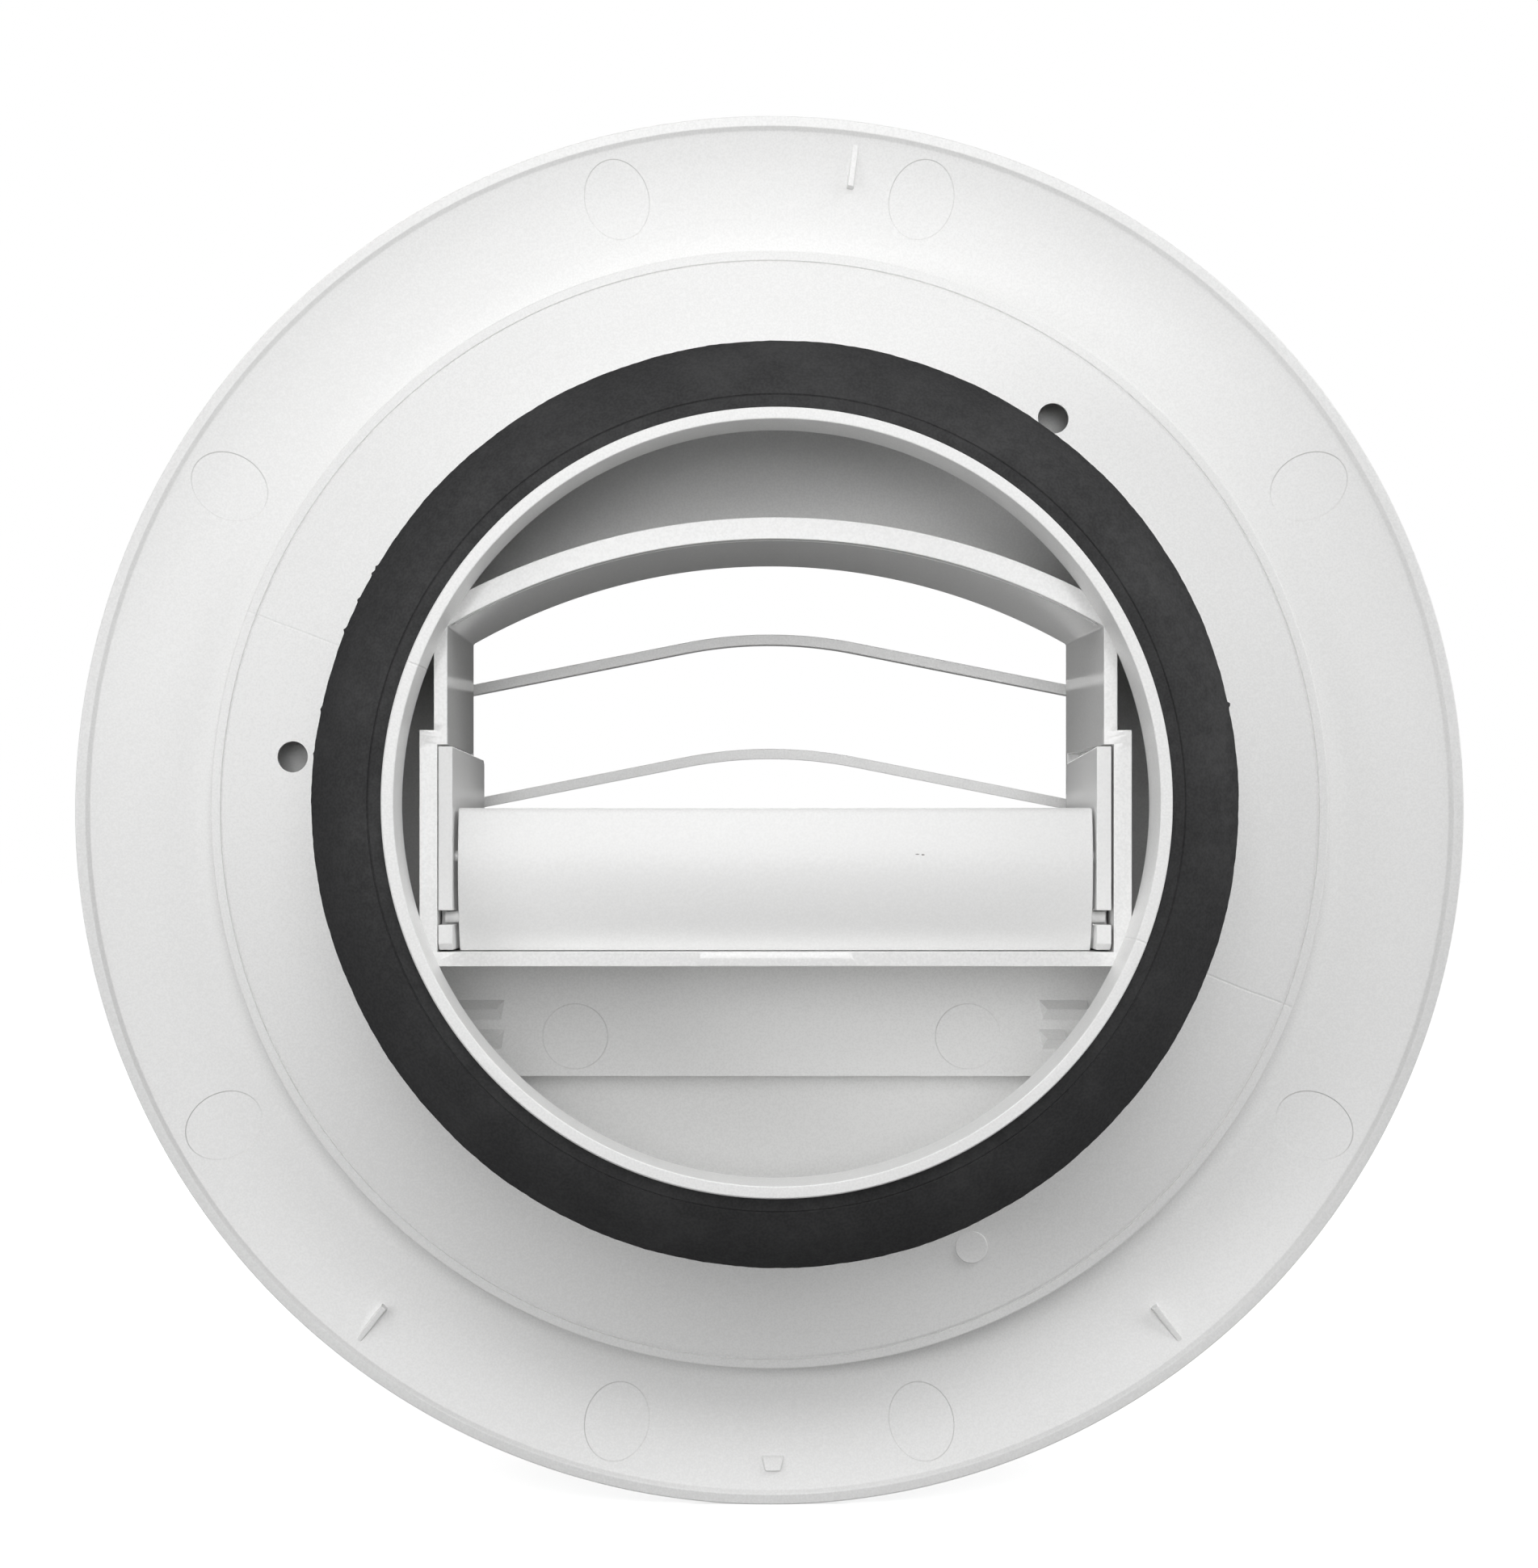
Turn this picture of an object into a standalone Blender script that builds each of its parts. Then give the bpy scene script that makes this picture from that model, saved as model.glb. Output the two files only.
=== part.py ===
"""A constant volume extract grille for a 100 mm round duct, modelled as its five separate pieces.

The grille's axis lies along Y. The wall's face is the plane y = 0, the duct is on its +Y side, the room is
on its -Y side, and +Z is up. All lengths are metres and all angles are degrees.
"""

import math

import bmesh
import bpy

# Spigot and its lip, measured from the spigot's end in the duct
SPIGOT_REACH = 0.0395
LIP_INNER_RADIUS = 0.0414
LIP_WALL = 0.0013
LIP_DEPTH = 0.007
LIP_EDGE_ROUND = 0.0003
BEAD_HEIGHT = 0.00025
BEAD_START = 0.0011
BEAD_WIDTH = 0.0009

# Cone between the lip and the plate
CONE_STEP = 0.0017
CONE_BASE_RADIUS = 0.0474
CONE_WALL = 0.0014
CONE_FLARE_DEPTH = 0.0015

# Plate that lies on the wall, with its raised flat seat and its sloping outer part
PLATE_RADIUS = 0.0704
PLATE_WALL = 0.0018
PLATE_EDGE_WALL = 0.0013
PLATE_SLOPE = 8.5
SEAT_INNER_RADIUS = 0.052
SEAT_CHAMFER = 0.0022
SEAT_OUTER_RADIUS = 0.057
PLATE_BAND = 0.0015
PLATE_BAND_STEP = 0.0002
SCREW_CIRCLE_RADIUS = 0.0602
SCREW_HOLE_RADIUS = 0.00195
SCREW_HOLE_COUNT = 3
SCREW_HOLE_START = 5.85
BLIND_HOLE_INDEX = 2
BLIND_HOLE_RADIUS = 0.00205
BLIND_HOLE_DEPTH = 0.0009

# Arched air tunnel, moulded with the spigot
TUNNEL_LENGTH = 0.025
TUNNEL_HALF_WIDTH = 0.0364
TUNNEL_DRAFT = 0.0005
TUNNEL_CROWN = 0.0294
TUNNEL_SPRING = 0.0197
TUNNEL_FLOOR = -0.0164
ROOF_WALL = 0.0024
SIDE_WALL = 0.0015
FLOOR_WALL = 0.0016
ARCH_STEPS = 16

# Sockets in the tunnel's side walls, which take the regulator's cheeks
SOCKET_TOP = 0.0066
SOCKET_DEPTH = 0.0011
SOCKET_WALL = 0.002
SOCKET_ROOF_WALL = 0.0016
SOCKET_STOP = 0.001

# Web that closes the spigot round the tunnel
WEB_WALL = 0.0016
WEB_CORE_RADIUS = 0.012
POCKET_EDGE = -0.0324
POCKET_DEPTH = 0.0044
POCKET_MARGIN = 0.0005
GROOVE_INNER_X = 0.0328
GROOVE_DEPTH = 0.0009
GROOVE_HEIGHT = 0.0024
GROOVE_VALLEY = 0.0009
GROOVE_TOPS = (-0.0232, -0.0267)
RIM_HEIGHT = 0.0035
RIM_WALL = 0.001

# Rubber lip seal round the spigot
SEAL_START = 0.0031
SEAL_WIDTH = 0.0033
SEAL_COLLAR_WALL = 0.0016
SEAL_COLLAR_TAPER = 0.0004
SEAL_LIP_RADIUS = 0.0515
SEAL_LIP_SWEEP = 0.0042
SEAL_LIP_WALL = 0.0009
SEAL_TIP_WALL = 0.0004
SEAL_LIP_BOW = 0.0006
SEAL_LIP_STEPS = 5

# Front cover
COVER_RADIUS = 0.0882
COVER_PROJECTION = 0.0124
COVER_WALL = 0.0019
DOME_RISE = 0.0052
COVER_EDGE_ROUND = 0.0016
COVER_RIM_GAP = 0.0049
COVER_RIM_WIDTH = 0.0013
COVER_RIM_EDGE = 0.0002
COVER_RIM_DRAFT = 0.0003
DOME_STEPS = 7
EDGE_STEPS = 4
THROAT_MARGIN = 0.001
THROAT_WALL = 0.0013
THROAT_FLARE = 0.0019
BAR_BACK = -0.0005
BAR_DEPTH = 0.004
BAR_HEIGHT = 0.0013
BAR_PEAKS = (0.0219, 0.0076)
BAR_SLOPE = 11.2
BAR_ARC_HALF_WIDTH = 0.0106
BAR_ARC_RADIUS = 0.055
BAR_ARC_STEPS = 8
BAR_BITE = 0.0004
GUSSET_ANGLES = (97.4, 232.2, 307.8)
GUSSET_RIM_GAP = 0.0011
GUSSET_LENGTH = 0.0054
GUSSET_WIDTH = 0.0009
GUSSET_HEIGHT = 0.0014
NUB_ANGLE = 270.0
NUB_RIM_GAP = 0.0026
NUB_LENGTH = 0.0023
NUB_WIDTH = 0.0021
NUB_INNER_WIDTH = 0.003
NUB_HEIGHT = 0.0007

# Regulator frame, which slides into the sockets from the duct end
CHEEK_NEAR_X = 0.0357
CHEEK_FAR_X = 0.0352
CHEEK_TOP_DROP = 0.0007
CHEEK_FOOT_CHAMFER = 0.0007
BASE_WALL = 0.0012
BASE_SETBACK = 0.006
SLOT_CLEARANCE = 0.00007
NUB_STOP_RADIUS = 0.0006
NUB_STOP_REACH = 0.001
NUB_STOP_Z = -0.0058

# Regulator flap, an L of blade and wing that turns on its own axle
AXLE_DEPTH = 0.0097
AXLE_Z = -0.0126
AXLE_RADIUS = 0.00065
AXLE_HALF_LENGTH = 0.03685
BLADE_FRONT_DEPTH = 0.0075
BLADE_ARC_RADIUS = 0.023
BLADE_ARC_Z = -0.0066
BLADE_BOTTOM = -0.0162
BLADE_HALF_WIDTH = 0.0353
FLAP_TOP = -0.0004
FLAP_WALL = 0.001
FLAP_BEND_RADIUS = 0.0012
WING_REACH = 0.028
WING_HALF_WIDTH = 0.0344
WING_START = 0.0115
BLADE_STEPS = 10
BEND_STEPS = 6

# Clearances between pieces
SEAT_GAP = 0.0003
CHEEK_GAP = 0.0002

# How finely round shapes are divided
TURN_STEPS = 84
HOLE_SIDES = 20
AXLE_SIDES = 20

# Places along the axis that several pieces share
END_Y = SPIGOT_REACH
TUNNEL_Y = END_Y - LIP_DEPTH
WEB_ROOM_Y = TUNNEL_Y - TUNNEL_LENGTH
WEB_DUCT_Y = WEB_ROOM_Y + WEB_WALL
LIP_OUTER_RADIUS = LIP_INNER_RADIUS + LIP_WALL
SHOULDER_Y = END_Y - SEAL_START - SEAL_WIDTH - SEAT_GAP
SHOULDER_RADIUS = LIP_OUTER_RADIUS + CONE_STEP
CAVITY_RADIUS = CONE_BASE_RADIUS - CONE_WALL
DISH_RADIUS = COVER_RADIUS - COVER_RIM_WIDTH - COVER_RIM_DRAFT
ROOF_RADIUS = (TUNNEL_HALF_WIDTH**2 + (TUNNEL_CROWN - TUNNEL_SPRING) ** 2) / (
    2 * (TUNNEL_CROWN - TUNNEL_SPRING)
)
AXLE_Y = END_Y - AXLE_DEPTH
OVERRUN = 0.001


def clear_scene():
    """Removes every object that the scene holds."""
    for obj in list(bpy.data.objects):
        bpy.data.objects.remove(obj, do_unlink=True)


def new_collection(name):
    """Makes a collection and links it to the scene."""
    collection = bpy.data.collections.new(name)
    bpy.context.scene.collection.children.link(collection)
    return collection


def plastic(name, colour, roughness):
    """Makes a plain Principled material."""
    material = bpy.data.materials.new(name)
    material.use_nodes = True
    shader = material.node_tree.nodes["Principled BSDF"]
    shader.inputs["Base Color"].default_value = (*colour, 1.0)
    shader.inputs["Roughness"].default_value = roughness
    shader.inputs["Metallic"].default_value = 0.0
    return material


def new_object(name, mesh, collection, material=None):
    """Makes an object from a mesh, in a collection."""
    obj = bpy.data.objects.new(name, mesh)
    collection.objects.link(obj)
    if material is not None:
        mesh.materials.append(material)
    return obj


def as_helper(obj):
    """Marks an object as a helper that only shapes others."""
    obj.hide_render = True
    obj.display_type = "WIRE"
    return obj


def join(obj, helper):
    """Adds a helper's solid to an object."""
    boolean(obj, helper, "UNION")


def cut(obj, helper):
    """Takes a helper's solid away from an object."""
    boolean(obj, helper, "DIFFERENCE")


def boolean(obj, helper, operation):
    """Adds one Boolean modifier."""
    modifier = obj.modifiers.new(f"{operation.lower()} {helper.name}", "BOOLEAN")
    modifier.object = helper
    modifier.operation = operation
    modifier.solver = "EXACT"


def arc(centre, radius, start, stop, steps):
    """Points of an arc about a centre, from one angle to another."""
    angles = [math.radians(start + (stop - start) * i / steps) for i in range(steps + 1)]
    return [(centre[0] + radius * math.cos(a), centre[1] + radius * math.sin(a)) for a in angles]


def turned(name, profile, collection, material):
    """Turns a closed profile of (radius, y) points round the Y axis."""
    mesh = bpy.data.meshes.new(name)
    points = [(radius, y, 0.0) for radius, y in profile]
    edges = [(i, (i + 1) % len(points)) for i in range(len(points))]
    mesh.from_pydata(points, edges, [])
    obj = new_object(name, mesh, collection, material)
    screw = obj.modifiers.new("turn", "SCREW")
    screw.axis = "Y"
    screw.steps = TURN_STEPS
    screw.render_steps = TURN_STEPS
    screw.use_merge_vertices = True
    screw.merge_threshold = 0.000001
    screw.use_smooth_shade = False
    return obj


def close_loft(mesh_name, sections):
    """Makes a closed mesh from two or more outlines with the same number of points."""
    mesh = bpy.data.meshes.new(mesh_name)
    shape = bmesh.new()
    rings = [[shape.verts.new(point) for point in section] for section in sections]
    shape.faces.new(rings[0])
    shape.faces.new(rings[-1])
    for first, second in zip(rings, rings[1:]):
        for i, corner in enumerate(first):
            j = (i + 1) % len(first)
            shape.faces.new((corner, first[j], second[j], second[i]))
    bmesh.ops.recalc_face_normals(shape, faces=shape.faces)
    shape.to_mesh(mesh)
    shape.free()
    return mesh


def loft_along_y(name, sections, collection, material=None):
    """Lofts (x, z) outlines, each given with its own y."""
    rings = [[(x, y, z) for x, z in outline] for y, outline in sections]
    return new_object(name, close_loft(name, rings), collection, material)


def extrude_along_x(name, outline, low, high, collection, material=None):
    """Extrudes a (y, z) outline from one x to another."""
    rings = [[(x, y, z) for y, z in outline] for x in (low, high)]
    return new_object(name, close_loft(name, rings), collection, material)


def box(name, low, high, collection):
    """Makes a box between two corners."""
    mesh = bpy.data.meshes.new(name)
    shape = bmesh.new()
    bmesh.ops.create_cube(shape, size=1.0)
    size = [high[i] - low[i] for i in range(3)]
    middle = [(high[i] + low[i]) / 2 for i in range(3)]
    bmesh.ops.scale(shape, vec=size, verts=shape.verts)
    bmesh.ops.translate(shape, vec=middle, verts=shape.verts)
    shape.to_mesh(mesh)
    shape.free()
    return new_object(name, mesh, collection)


def rod(name, radius, low, high, axis, sides, collection):
    """Makes a cylinder along X or Y between two end points on its axis."""
    mesh = bpy.data.meshes.new(name)
    shape = bmesh.new()
    length = math.dist(low, high)
    bmesh.ops.create_cone(
        shape, cap_ends=True, segments=sides, radius1=radius, radius2=radius, depth=length
    )
    shape.to_mesh(mesh)
    shape.free()
    obj = new_object(name, mesh, collection)
    obj.location = [(low[i] + high[i]) / 2 for i in range(3)]
    quarter = math.radians(90)
    obj.rotation_euler = (0, quarter, 0) if axis == "X" else (quarter, 0, 0)
    return obj


def arch_outline(margin, draft=0.0):
    """The tunnel's outline as (x, z) points, grown outwards by a margin and narrowed by a draft."""
    half = TUNNEL_HALF_WIDTH + margin - draft
    radius = ROOF_RADIUS + margin
    centre_z = TUNNEL_CROWN - ROOF_RADIUS
    lean = math.degrees(math.asin(half / radius))
    roof = arc((0.0, centre_z), radius, 90 + lean, 90 - lean, ARCH_STEPS)
    floor = TUNNEL_FLOOR - margin
    return [*roof, (half, floor), (-half, floor)]


def stepped_outline(roof_margin, side_margin, step_z, step_half, floor, draft=0.0):
    """An arch outline whose side walls step out to a wider half width below a given height."""
    half = TUNNEL_HALF_WIDTH + side_margin - draft
    radius = ROOF_RADIUS + roof_margin
    centre_z = TUNNEL_CROWN - ROOF_RADIUS
    lean = math.degrees(math.asin(half / radius))
    roof = arc((0.0, centre_z), radius, 90 + lean, 90 - lean, ARCH_STEPS)
    right = [(half, step_z), (step_half, step_z), (step_half, floor)]
    left = [(-x, z) for x, z in reversed(right)]
    return [*roof, *right, *left]


def segment_outline(radius, chord_z):
    """A circle's lower segment, below a level chord, as (x, z) points."""
    lean = math.degrees(math.acos(-chord_z / radius))
    return arc((0.0, 0.0), radius, 270 - lean, 270 + lean, ARCH_STEPS)


def polar(radius, angle, y):
    """A point at a radius from the axis, at an angle that turns from +X to +Z."""
    a = math.radians(angle)
    return (radius * math.cos(a), y, radius * math.sin(a))


def plate_y(radius):
    """The duct side of the plate: flat on the wall, then sloping away from it."""
    return -max(radius - SEAT_OUTER_RADIUS, 0.0) * math.tan(math.radians(PLATE_SLOPE))


def body_profile():
    """The spigot's section, from the web along its inside to the end, and back outside to the plate."""
    band_radius = PLATE_RADIUS - PLATE_BAND
    band_y = plate_y(band_radius)
    edge_y = plate_y(PLATE_RADIUS) - PLATE_BAND_STEP
    underside_y = -PLATE_WALL
    return [
        (WEB_CORE_RADIUS, WEB_DUCT_Y),
        (CAVITY_RADIUS, WEB_DUCT_Y),
        (LIP_INNER_RADIUS + CONE_FLARE_DEPTH, TUNNEL_Y - CONE_FLARE_DEPTH),
        (LIP_INNER_RADIUS, TUNNEL_Y),
        (LIP_INNER_RADIUS, END_Y - LIP_EDGE_ROUND),
        (LIP_INNER_RADIUS + LIP_EDGE_ROUND / 2, END_Y),
        (LIP_OUTER_RADIUS - LIP_EDGE_ROUND / 2, END_Y),
        (LIP_OUTER_RADIUS, END_Y - LIP_EDGE_ROUND),
        (LIP_OUTER_RADIUS, END_Y - BEAD_START),
        (LIP_OUTER_RADIUS + BEAD_HEIGHT, END_Y - BEAD_START - BEAD_HEIGHT),
        (LIP_OUTER_RADIUS + BEAD_HEIGHT, END_Y - BEAD_START - BEAD_WIDTH + BEAD_HEIGHT),
        (LIP_OUTER_RADIUS, END_Y - BEAD_START - BEAD_WIDTH),
        (LIP_OUTER_RADIUS, SHOULDER_Y),
        (SHOULDER_RADIUS, SHOULDER_Y),
        (CONE_BASE_RADIUS, WEB_DUCT_Y),
        (CONE_BASE_RADIUS, SEAT_CHAMFER),
        (SEAT_INNER_RADIUS, 0.0),
        (SEAT_OUTER_RADIUS, 0.0),
        (band_radius, band_y),
        (band_radius, band_y - PLATE_BAND_STEP),
        (PLATE_RADIUS - PLATE_BAND_STEP, edge_y),
        (PLATE_RADIUS, edge_y - PLATE_BAND_STEP),
        (PLATE_RADIUS, edge_y - PLATE_EDGE_WALL),
        (SEAT_OUTER_RADIUS, underside_y),
        (CAVITY_RADIUS, underside_y),
        (CAVITY_RADIUS, WEB_ROOM_Y),
        (WEB_CORE_RADIUS, WEB_ROOM_Y),
    ]


def make_body(parts, helpers, material):
    """The spigot, its web, the arched tunnel, the plate and the rim that centres the cover."""
    body = turned("spigot_body", body_profile(), parts, material)

    step_half = TUNNEL_HALF_WIDTH + SOCKET_DEPTH
    outer = stepped_outline(
        ROOF_WALL,
        SIDE_WALL,
        SOCKET_TOP + SOCKET_ROOF_WALL,
        step_half + SOCKET_WALL,
        TUNNEL_FLOOR - FLOOR_WALL,
    )
    tunnel_y = (TUNNEL_Y, WEB_ROOM_Y + WEB_WALL / 2)
    join(body, loft_along_y("tunnel_outside", [(y, outer) for y in tunnel_y], helpers))

    rim_y = (WEB_ROOM_Y + WEB_WALL / 2, WEB_ROOM_Y - RIM_HEIGHT)
    rim_margin = THROAT_MARGIN + THROAT_WALL + SEAT_GAP
    rim = arch_outline(rim_margin + RIM_WALL)
    join(body, loft_along_y("rim_outside", [(y, rim) for y in rim_y], helpers))

    block = segment_outline((CAVITY_RADIUS + CONE_BASE_RADIUS) / 2, POCKET_EDGE + WEB_WALL)
    block_y = (WEB_ROOM_Y + WEB_WALL / 2, WEB_ROOM_Y - POCKET_DEPTH)
    join(body, loft_along_y("pocket_outside", [(y, block) for y in block_y], helpers))

    inner = [
        stepped_outline(0.0, 0.0, SOCKET_TOP, step_half, TUNNEL_FLOOR, draft)
        for draft in (0.0, TUNNEL_DRAFT)
    ]
    inner_y = (TUNNEL_Y + OVERRUN, WEB_ROOM_Y + SOCKET_STOP)
    cut(body, loft_along_y("tunnel_space", list(zip(inner_y, inner)), helpers))

    mouth = arch_outline(0.0, TUNNEL_DRAFT)
    mouth_y = (WEB_ROOM_Y + SOCKET_STOP + OVERRUN, WEB_ROOM_Y - OVERRUN)
    cut(body, loft_along_y("tunnel_mouth", [(y, mouth) for y in mouth_y], helpers))

    space = arch_outline(rim_margin)
    space_y = (WEB_ROOM_Y, WEB_ROOM_Y - RIM_HEIGHT - OVERRUN)
    cut(body, loft_along_y("rim_space", [(y, space) for y in space_y], helpers))

    pocket = segment_outline(CAVITY_RADIUS - POCKET_MARGIN, POCKET_EDGE)
    pocket_y = (WEB_DUCT_Y + OVERRUN, WEB_DUCT_Y - POCKET_DEPTH)
    cut(body, loft_along_y("pocket_space", [(y, pocket) for y in pocket_y], helpers))

    for side in (-1, 1):
        for number, top in enumerate(GROOVE_TOPS):
            foot = top - GROOVE_HEIGHT
            outer_x = math.sqrt((CAVITY_RADIUS - POCKET_MARGIN) ** 2 - foot**2)
            ends = sorted((side * GROOVE_INNER_X, side * outer_x))
            valley = [
                (WEB_DUCT_Y + OVERRUN, top),
                (WEB_DUCT_Y, top),
                (WEB_DUCT_Y - GROOVE_DEPTH, top - GROOVE_VALLEY),
                (WEB_DUCT_Y, foot),
                (WEB_DUCT_Y + OVERRUN, foot),
            ]
            name = f"groove_{number}_{'right' if side > 0 else 'left'}"
            cut(body, extrude_along_x(name, valley, *ends, helpers))

    for number in range(SCREW_HOLE_COUNT):
        angle = SCREW_HOLE_START + 360 * number / SCREW_HOLE_COUNT
        face_y = plate_y(SCREW_CIRCLE_RADIUS)
        blind = number == BLIND_HOLE_INDEX
        radius = BLIND_HOLE_RADIUS if blind else SCREW_HOLE_RADIUS
        depth = BLIND_HOLE_DEPTH if blind else PLATE_WALL + OVERRUN
        low = polar(SCREW_CIRCLE_RADIUS, angle, face_y - depth)
        high = polar(SCREW_CIRCLE_RADIUS, angle, face_y + OVERRUN)
        cut(body, rod(f"screw_hole_{number}", radius, low, high, "Y", HOLE_SIDES, helpers))
    return body


def seal_profile():
    """The seal's section: a collar round the spigot and a lip that sweeps out and back from its front."""
    inner = LIP_OUTER_RADIUS + SEAT_GAP
    front_y = END_Y - SEAL_START
    back_y = front_y - SEAL_WIDTH
    outer = inner + SEAL_COLLAR_WALL
    tip_y = front_y - SEAL_LIP_SWEEP
    duct_side, room_side = [], []
    for i in range(SEAL_LIP_STEPS + 1):
        t = i / SEAL_LIP_STEPS
        bow = 4 * t * (1 - t) * SEAL_LIP_BOW
        radius = outer + t * (SEAL_LIP_RADIUS - outer)
        y = front_y + t * (tip_y - front_y) + bow
        wall = SEAL_LIP_WALL + t * (SEAL_TIP_WALL - SEAL_LIP_WALL)
        duct_side.append((radius, y))
        room_side.append((radius - wall / 2, y - wall))
    back = (outer - SEAL_COLLAR_TAPER, back_y)
    return [(inner, back_y), (inner, front_y), *duct_side, *reversed(room_side), back]


def dome_y(radius):
    """The front face of the cover: a shallow dome over the round part inside its rounded edge."""
    flat_radius = COVER_RADIUS - COVER_EDGE_ROUND
    dome_radius = (flat_radius**2 + DOME_RISE**2) / (2 * DOME_RISE)
    drop = dome_radius - math.sqrt(dome_radius**2 - radius**2)
    return -COVER_PROJECTION + drop


def cover_profile():
    """The cover's section, from the middle along its front to the rim and back along its dished inside."""
    flat_radius = COVER_RADIUS - COVER_EDGE_ROUND
    rim_y = -COVER_RIM_GAP
    edge_centre = (flat_radius, dome_y(flat_radius) + COVER_EDGE_ROUND)
    rim_inner = COVER_RADIUS - COVER_RIM_WIDTH
    spread = [i / DOME_STEPS for i in range(DOME_STEPS + 1)]
    front = [WEB_CORE_RADIUS + t * (flat_radius - WEB_CORE_RADIUS) for t in spread]
    dish_reach = DISH_RADIUS - COVER_RIM_EDGE - WEB_CORE_RADIUS
    dish = [WEB_CORE_RADIUS + t * dish_reach for t in spread]
    return [
        *[(radius, dome_y(radius)) for radius in front[:-1]],
        *arc(edge_centre, COVER_EDGE_ROUND, 270, 360, EDGE_STEPS),
        (COVER_RADIUS, rim_y - COVER_RIM_EDGE),
        (COVER_RADIUS - COVER_RIM_EDGE, rim_y),
        (rim_inner + COVER_RIM_EDGE, rim_y),
        (rim_inner, rim_y - COVER_RIM_EDGE),
        (DISH_RADIUS, dome_y(DISH_RADIUS) + COVER_WALL + COVER_RIM_EDGE),
        *[(radius, dome_y(radius) + COVER_WALL) for radius in reversed(dish)],
    ]


def bar_top(x, peak):
    """Height of a bar's top edge: a shallow arc in the middle with a straight slope on each side."""
    reach = min(abs(x), BAR_ARC_HALF_WIDTH)
    sag = BAR_ARC_RADIUS - math.sqrt(BAR_ARC_RADIUS**2 - reach**2)
    slope = math.tan(math.radians(BAR_SLOPE))
    return peak - sag - slope * (abs(x) - reach)


def throat_margin(y):
    """How far the throat's inner face stands outside the tunnel's, at a place along the axis."""
    straight_y = WEB_ROOM_Y - RIM_HEIGHT - SEAT_GAP
    rate = THROAT_FLARE / (straight_y + COVER_PROJECTION - COVER_WALL)
    return THROAT_MARGIN + rate * max(straight_y - y, 0.0)


def bar_outline(peak):
    """A bar's outline as (x, z) points, reaching into the throat's side walls."""
    end = TUNNEL_HALF_WIDTH + throat_margin(BAR_BACK - BAR_DEPTH) + BAR_BITE
    middle = [
        BAR_ARC_HALF_WIDTH * (2 * i / BAR_ARC_STEPS - 1) for i in range(BAR_ARC_STEPS + 1)
    ]
    places = [-end, *middle, end]
    top = [(x, bar_top(x, peak)) for x in places]
    return [*top, *[(x, z - BAR_HEIGHT) for x, z in reversed(top)]]


def gusset(name, angle, collection):
    """A small radial wedge on the dish, high at its inner end."""
    outer = DISH_RADIUS - GUSSET_RIM_GAP
    inner = outer - GUSSET_LENGTH
    root = COVER_WALL / 2
    outline = [
        (inner, dome_y(inner) + root),
        (outer, dome_y(outer) + root),
        (outer, dome_y(outer) + COVER_WALL),
        (inner, dome_y(inner) + COVER_WALL + GUSSET_HEIGHT),
    ]
    half = GUSSET_WIDTH / 2
    rings = [[(radius, y, z) for radius, y in outline] for z in (-half, half)]
    obj = new_object(name, close_loft(name, rings), collection)
    obj.rotation_euler = (0, -math.radians(angle), 0)
    return obj


def nub(name, collection):
    """A small trapezoid nub on the dish, at the bottom."""
    outer = DISH_RADIUS - NUB_RIM_GAP
    inner = outer - NUB_LENGTH
    root_y = dome_y(outer) + COVER_WALL / 2
    top_y = dome_y(inner) + COVER_WALL + NUB_HEIGHT
    wide, narrow = NUB_WIDTH / 2, NUB_INNER_WIDTH / 2
    outline = [(inner, -narrow), (outer, -wide), (outer, wide), (inner, narrow)]
    rings = [[(radius, y, z) for radius, z in outline] for y in (root_y, top_y)]
    obj = new_object(name, close_loft(name, rings), collection)
    obj.rotation_euler = (0, -math.radians(NUB_ANGLE), 0)
    return obj


def make_cover(parts, helpers, material):
    """The dished front cover, its throat round the air opening, its two bars and its small ribs."""
    cover = turned("front_cover", cover_profile(), parts, material)
    back_y = WEB_ROOM_Y - SEAT_GAP
    flare_y = WEB_ROOM_Y - RIM_HEIGHT - SEAT_GAP
    shell_y = -COVER_PROJECTION + COVER_WALL
    front_y = -COVER_PROJECTION - OVERRUN

    outer_y = (back_y, flare_y, shell_y)
    outside = [(y, arch_outline(throat_margin(y) + THROAT_WALL)) for y in outer_y]
    join(cover, loft_along_y("throat_outside", outside, helpers))
    inner_y = (back_y + OVERRUN, flare_y, front_y)
    inside = [(y, arch_outline(throat_margin(y))) for y in inner_y]
    cut(cover, loft_along_y("throat_space", inside, helpers))

    for number, peak in enumerate(BAR_PEAKS):
        outline = bar_outline(peak)
        bar_y = (BAR_BACK, BAR_BACK - BAR_DEPTH)
        join(cover, loft_along_y(f"bar_{number}", [(y, outline) for y in bar_y], helpers))
    for number, angle in enumerate(GUSSET_ANGLES):
        join(cover, gusset(f"gusset_{number}", angle, helpers))
    join(cover, nub("rim_nub", helpers))
    return cover


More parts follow.
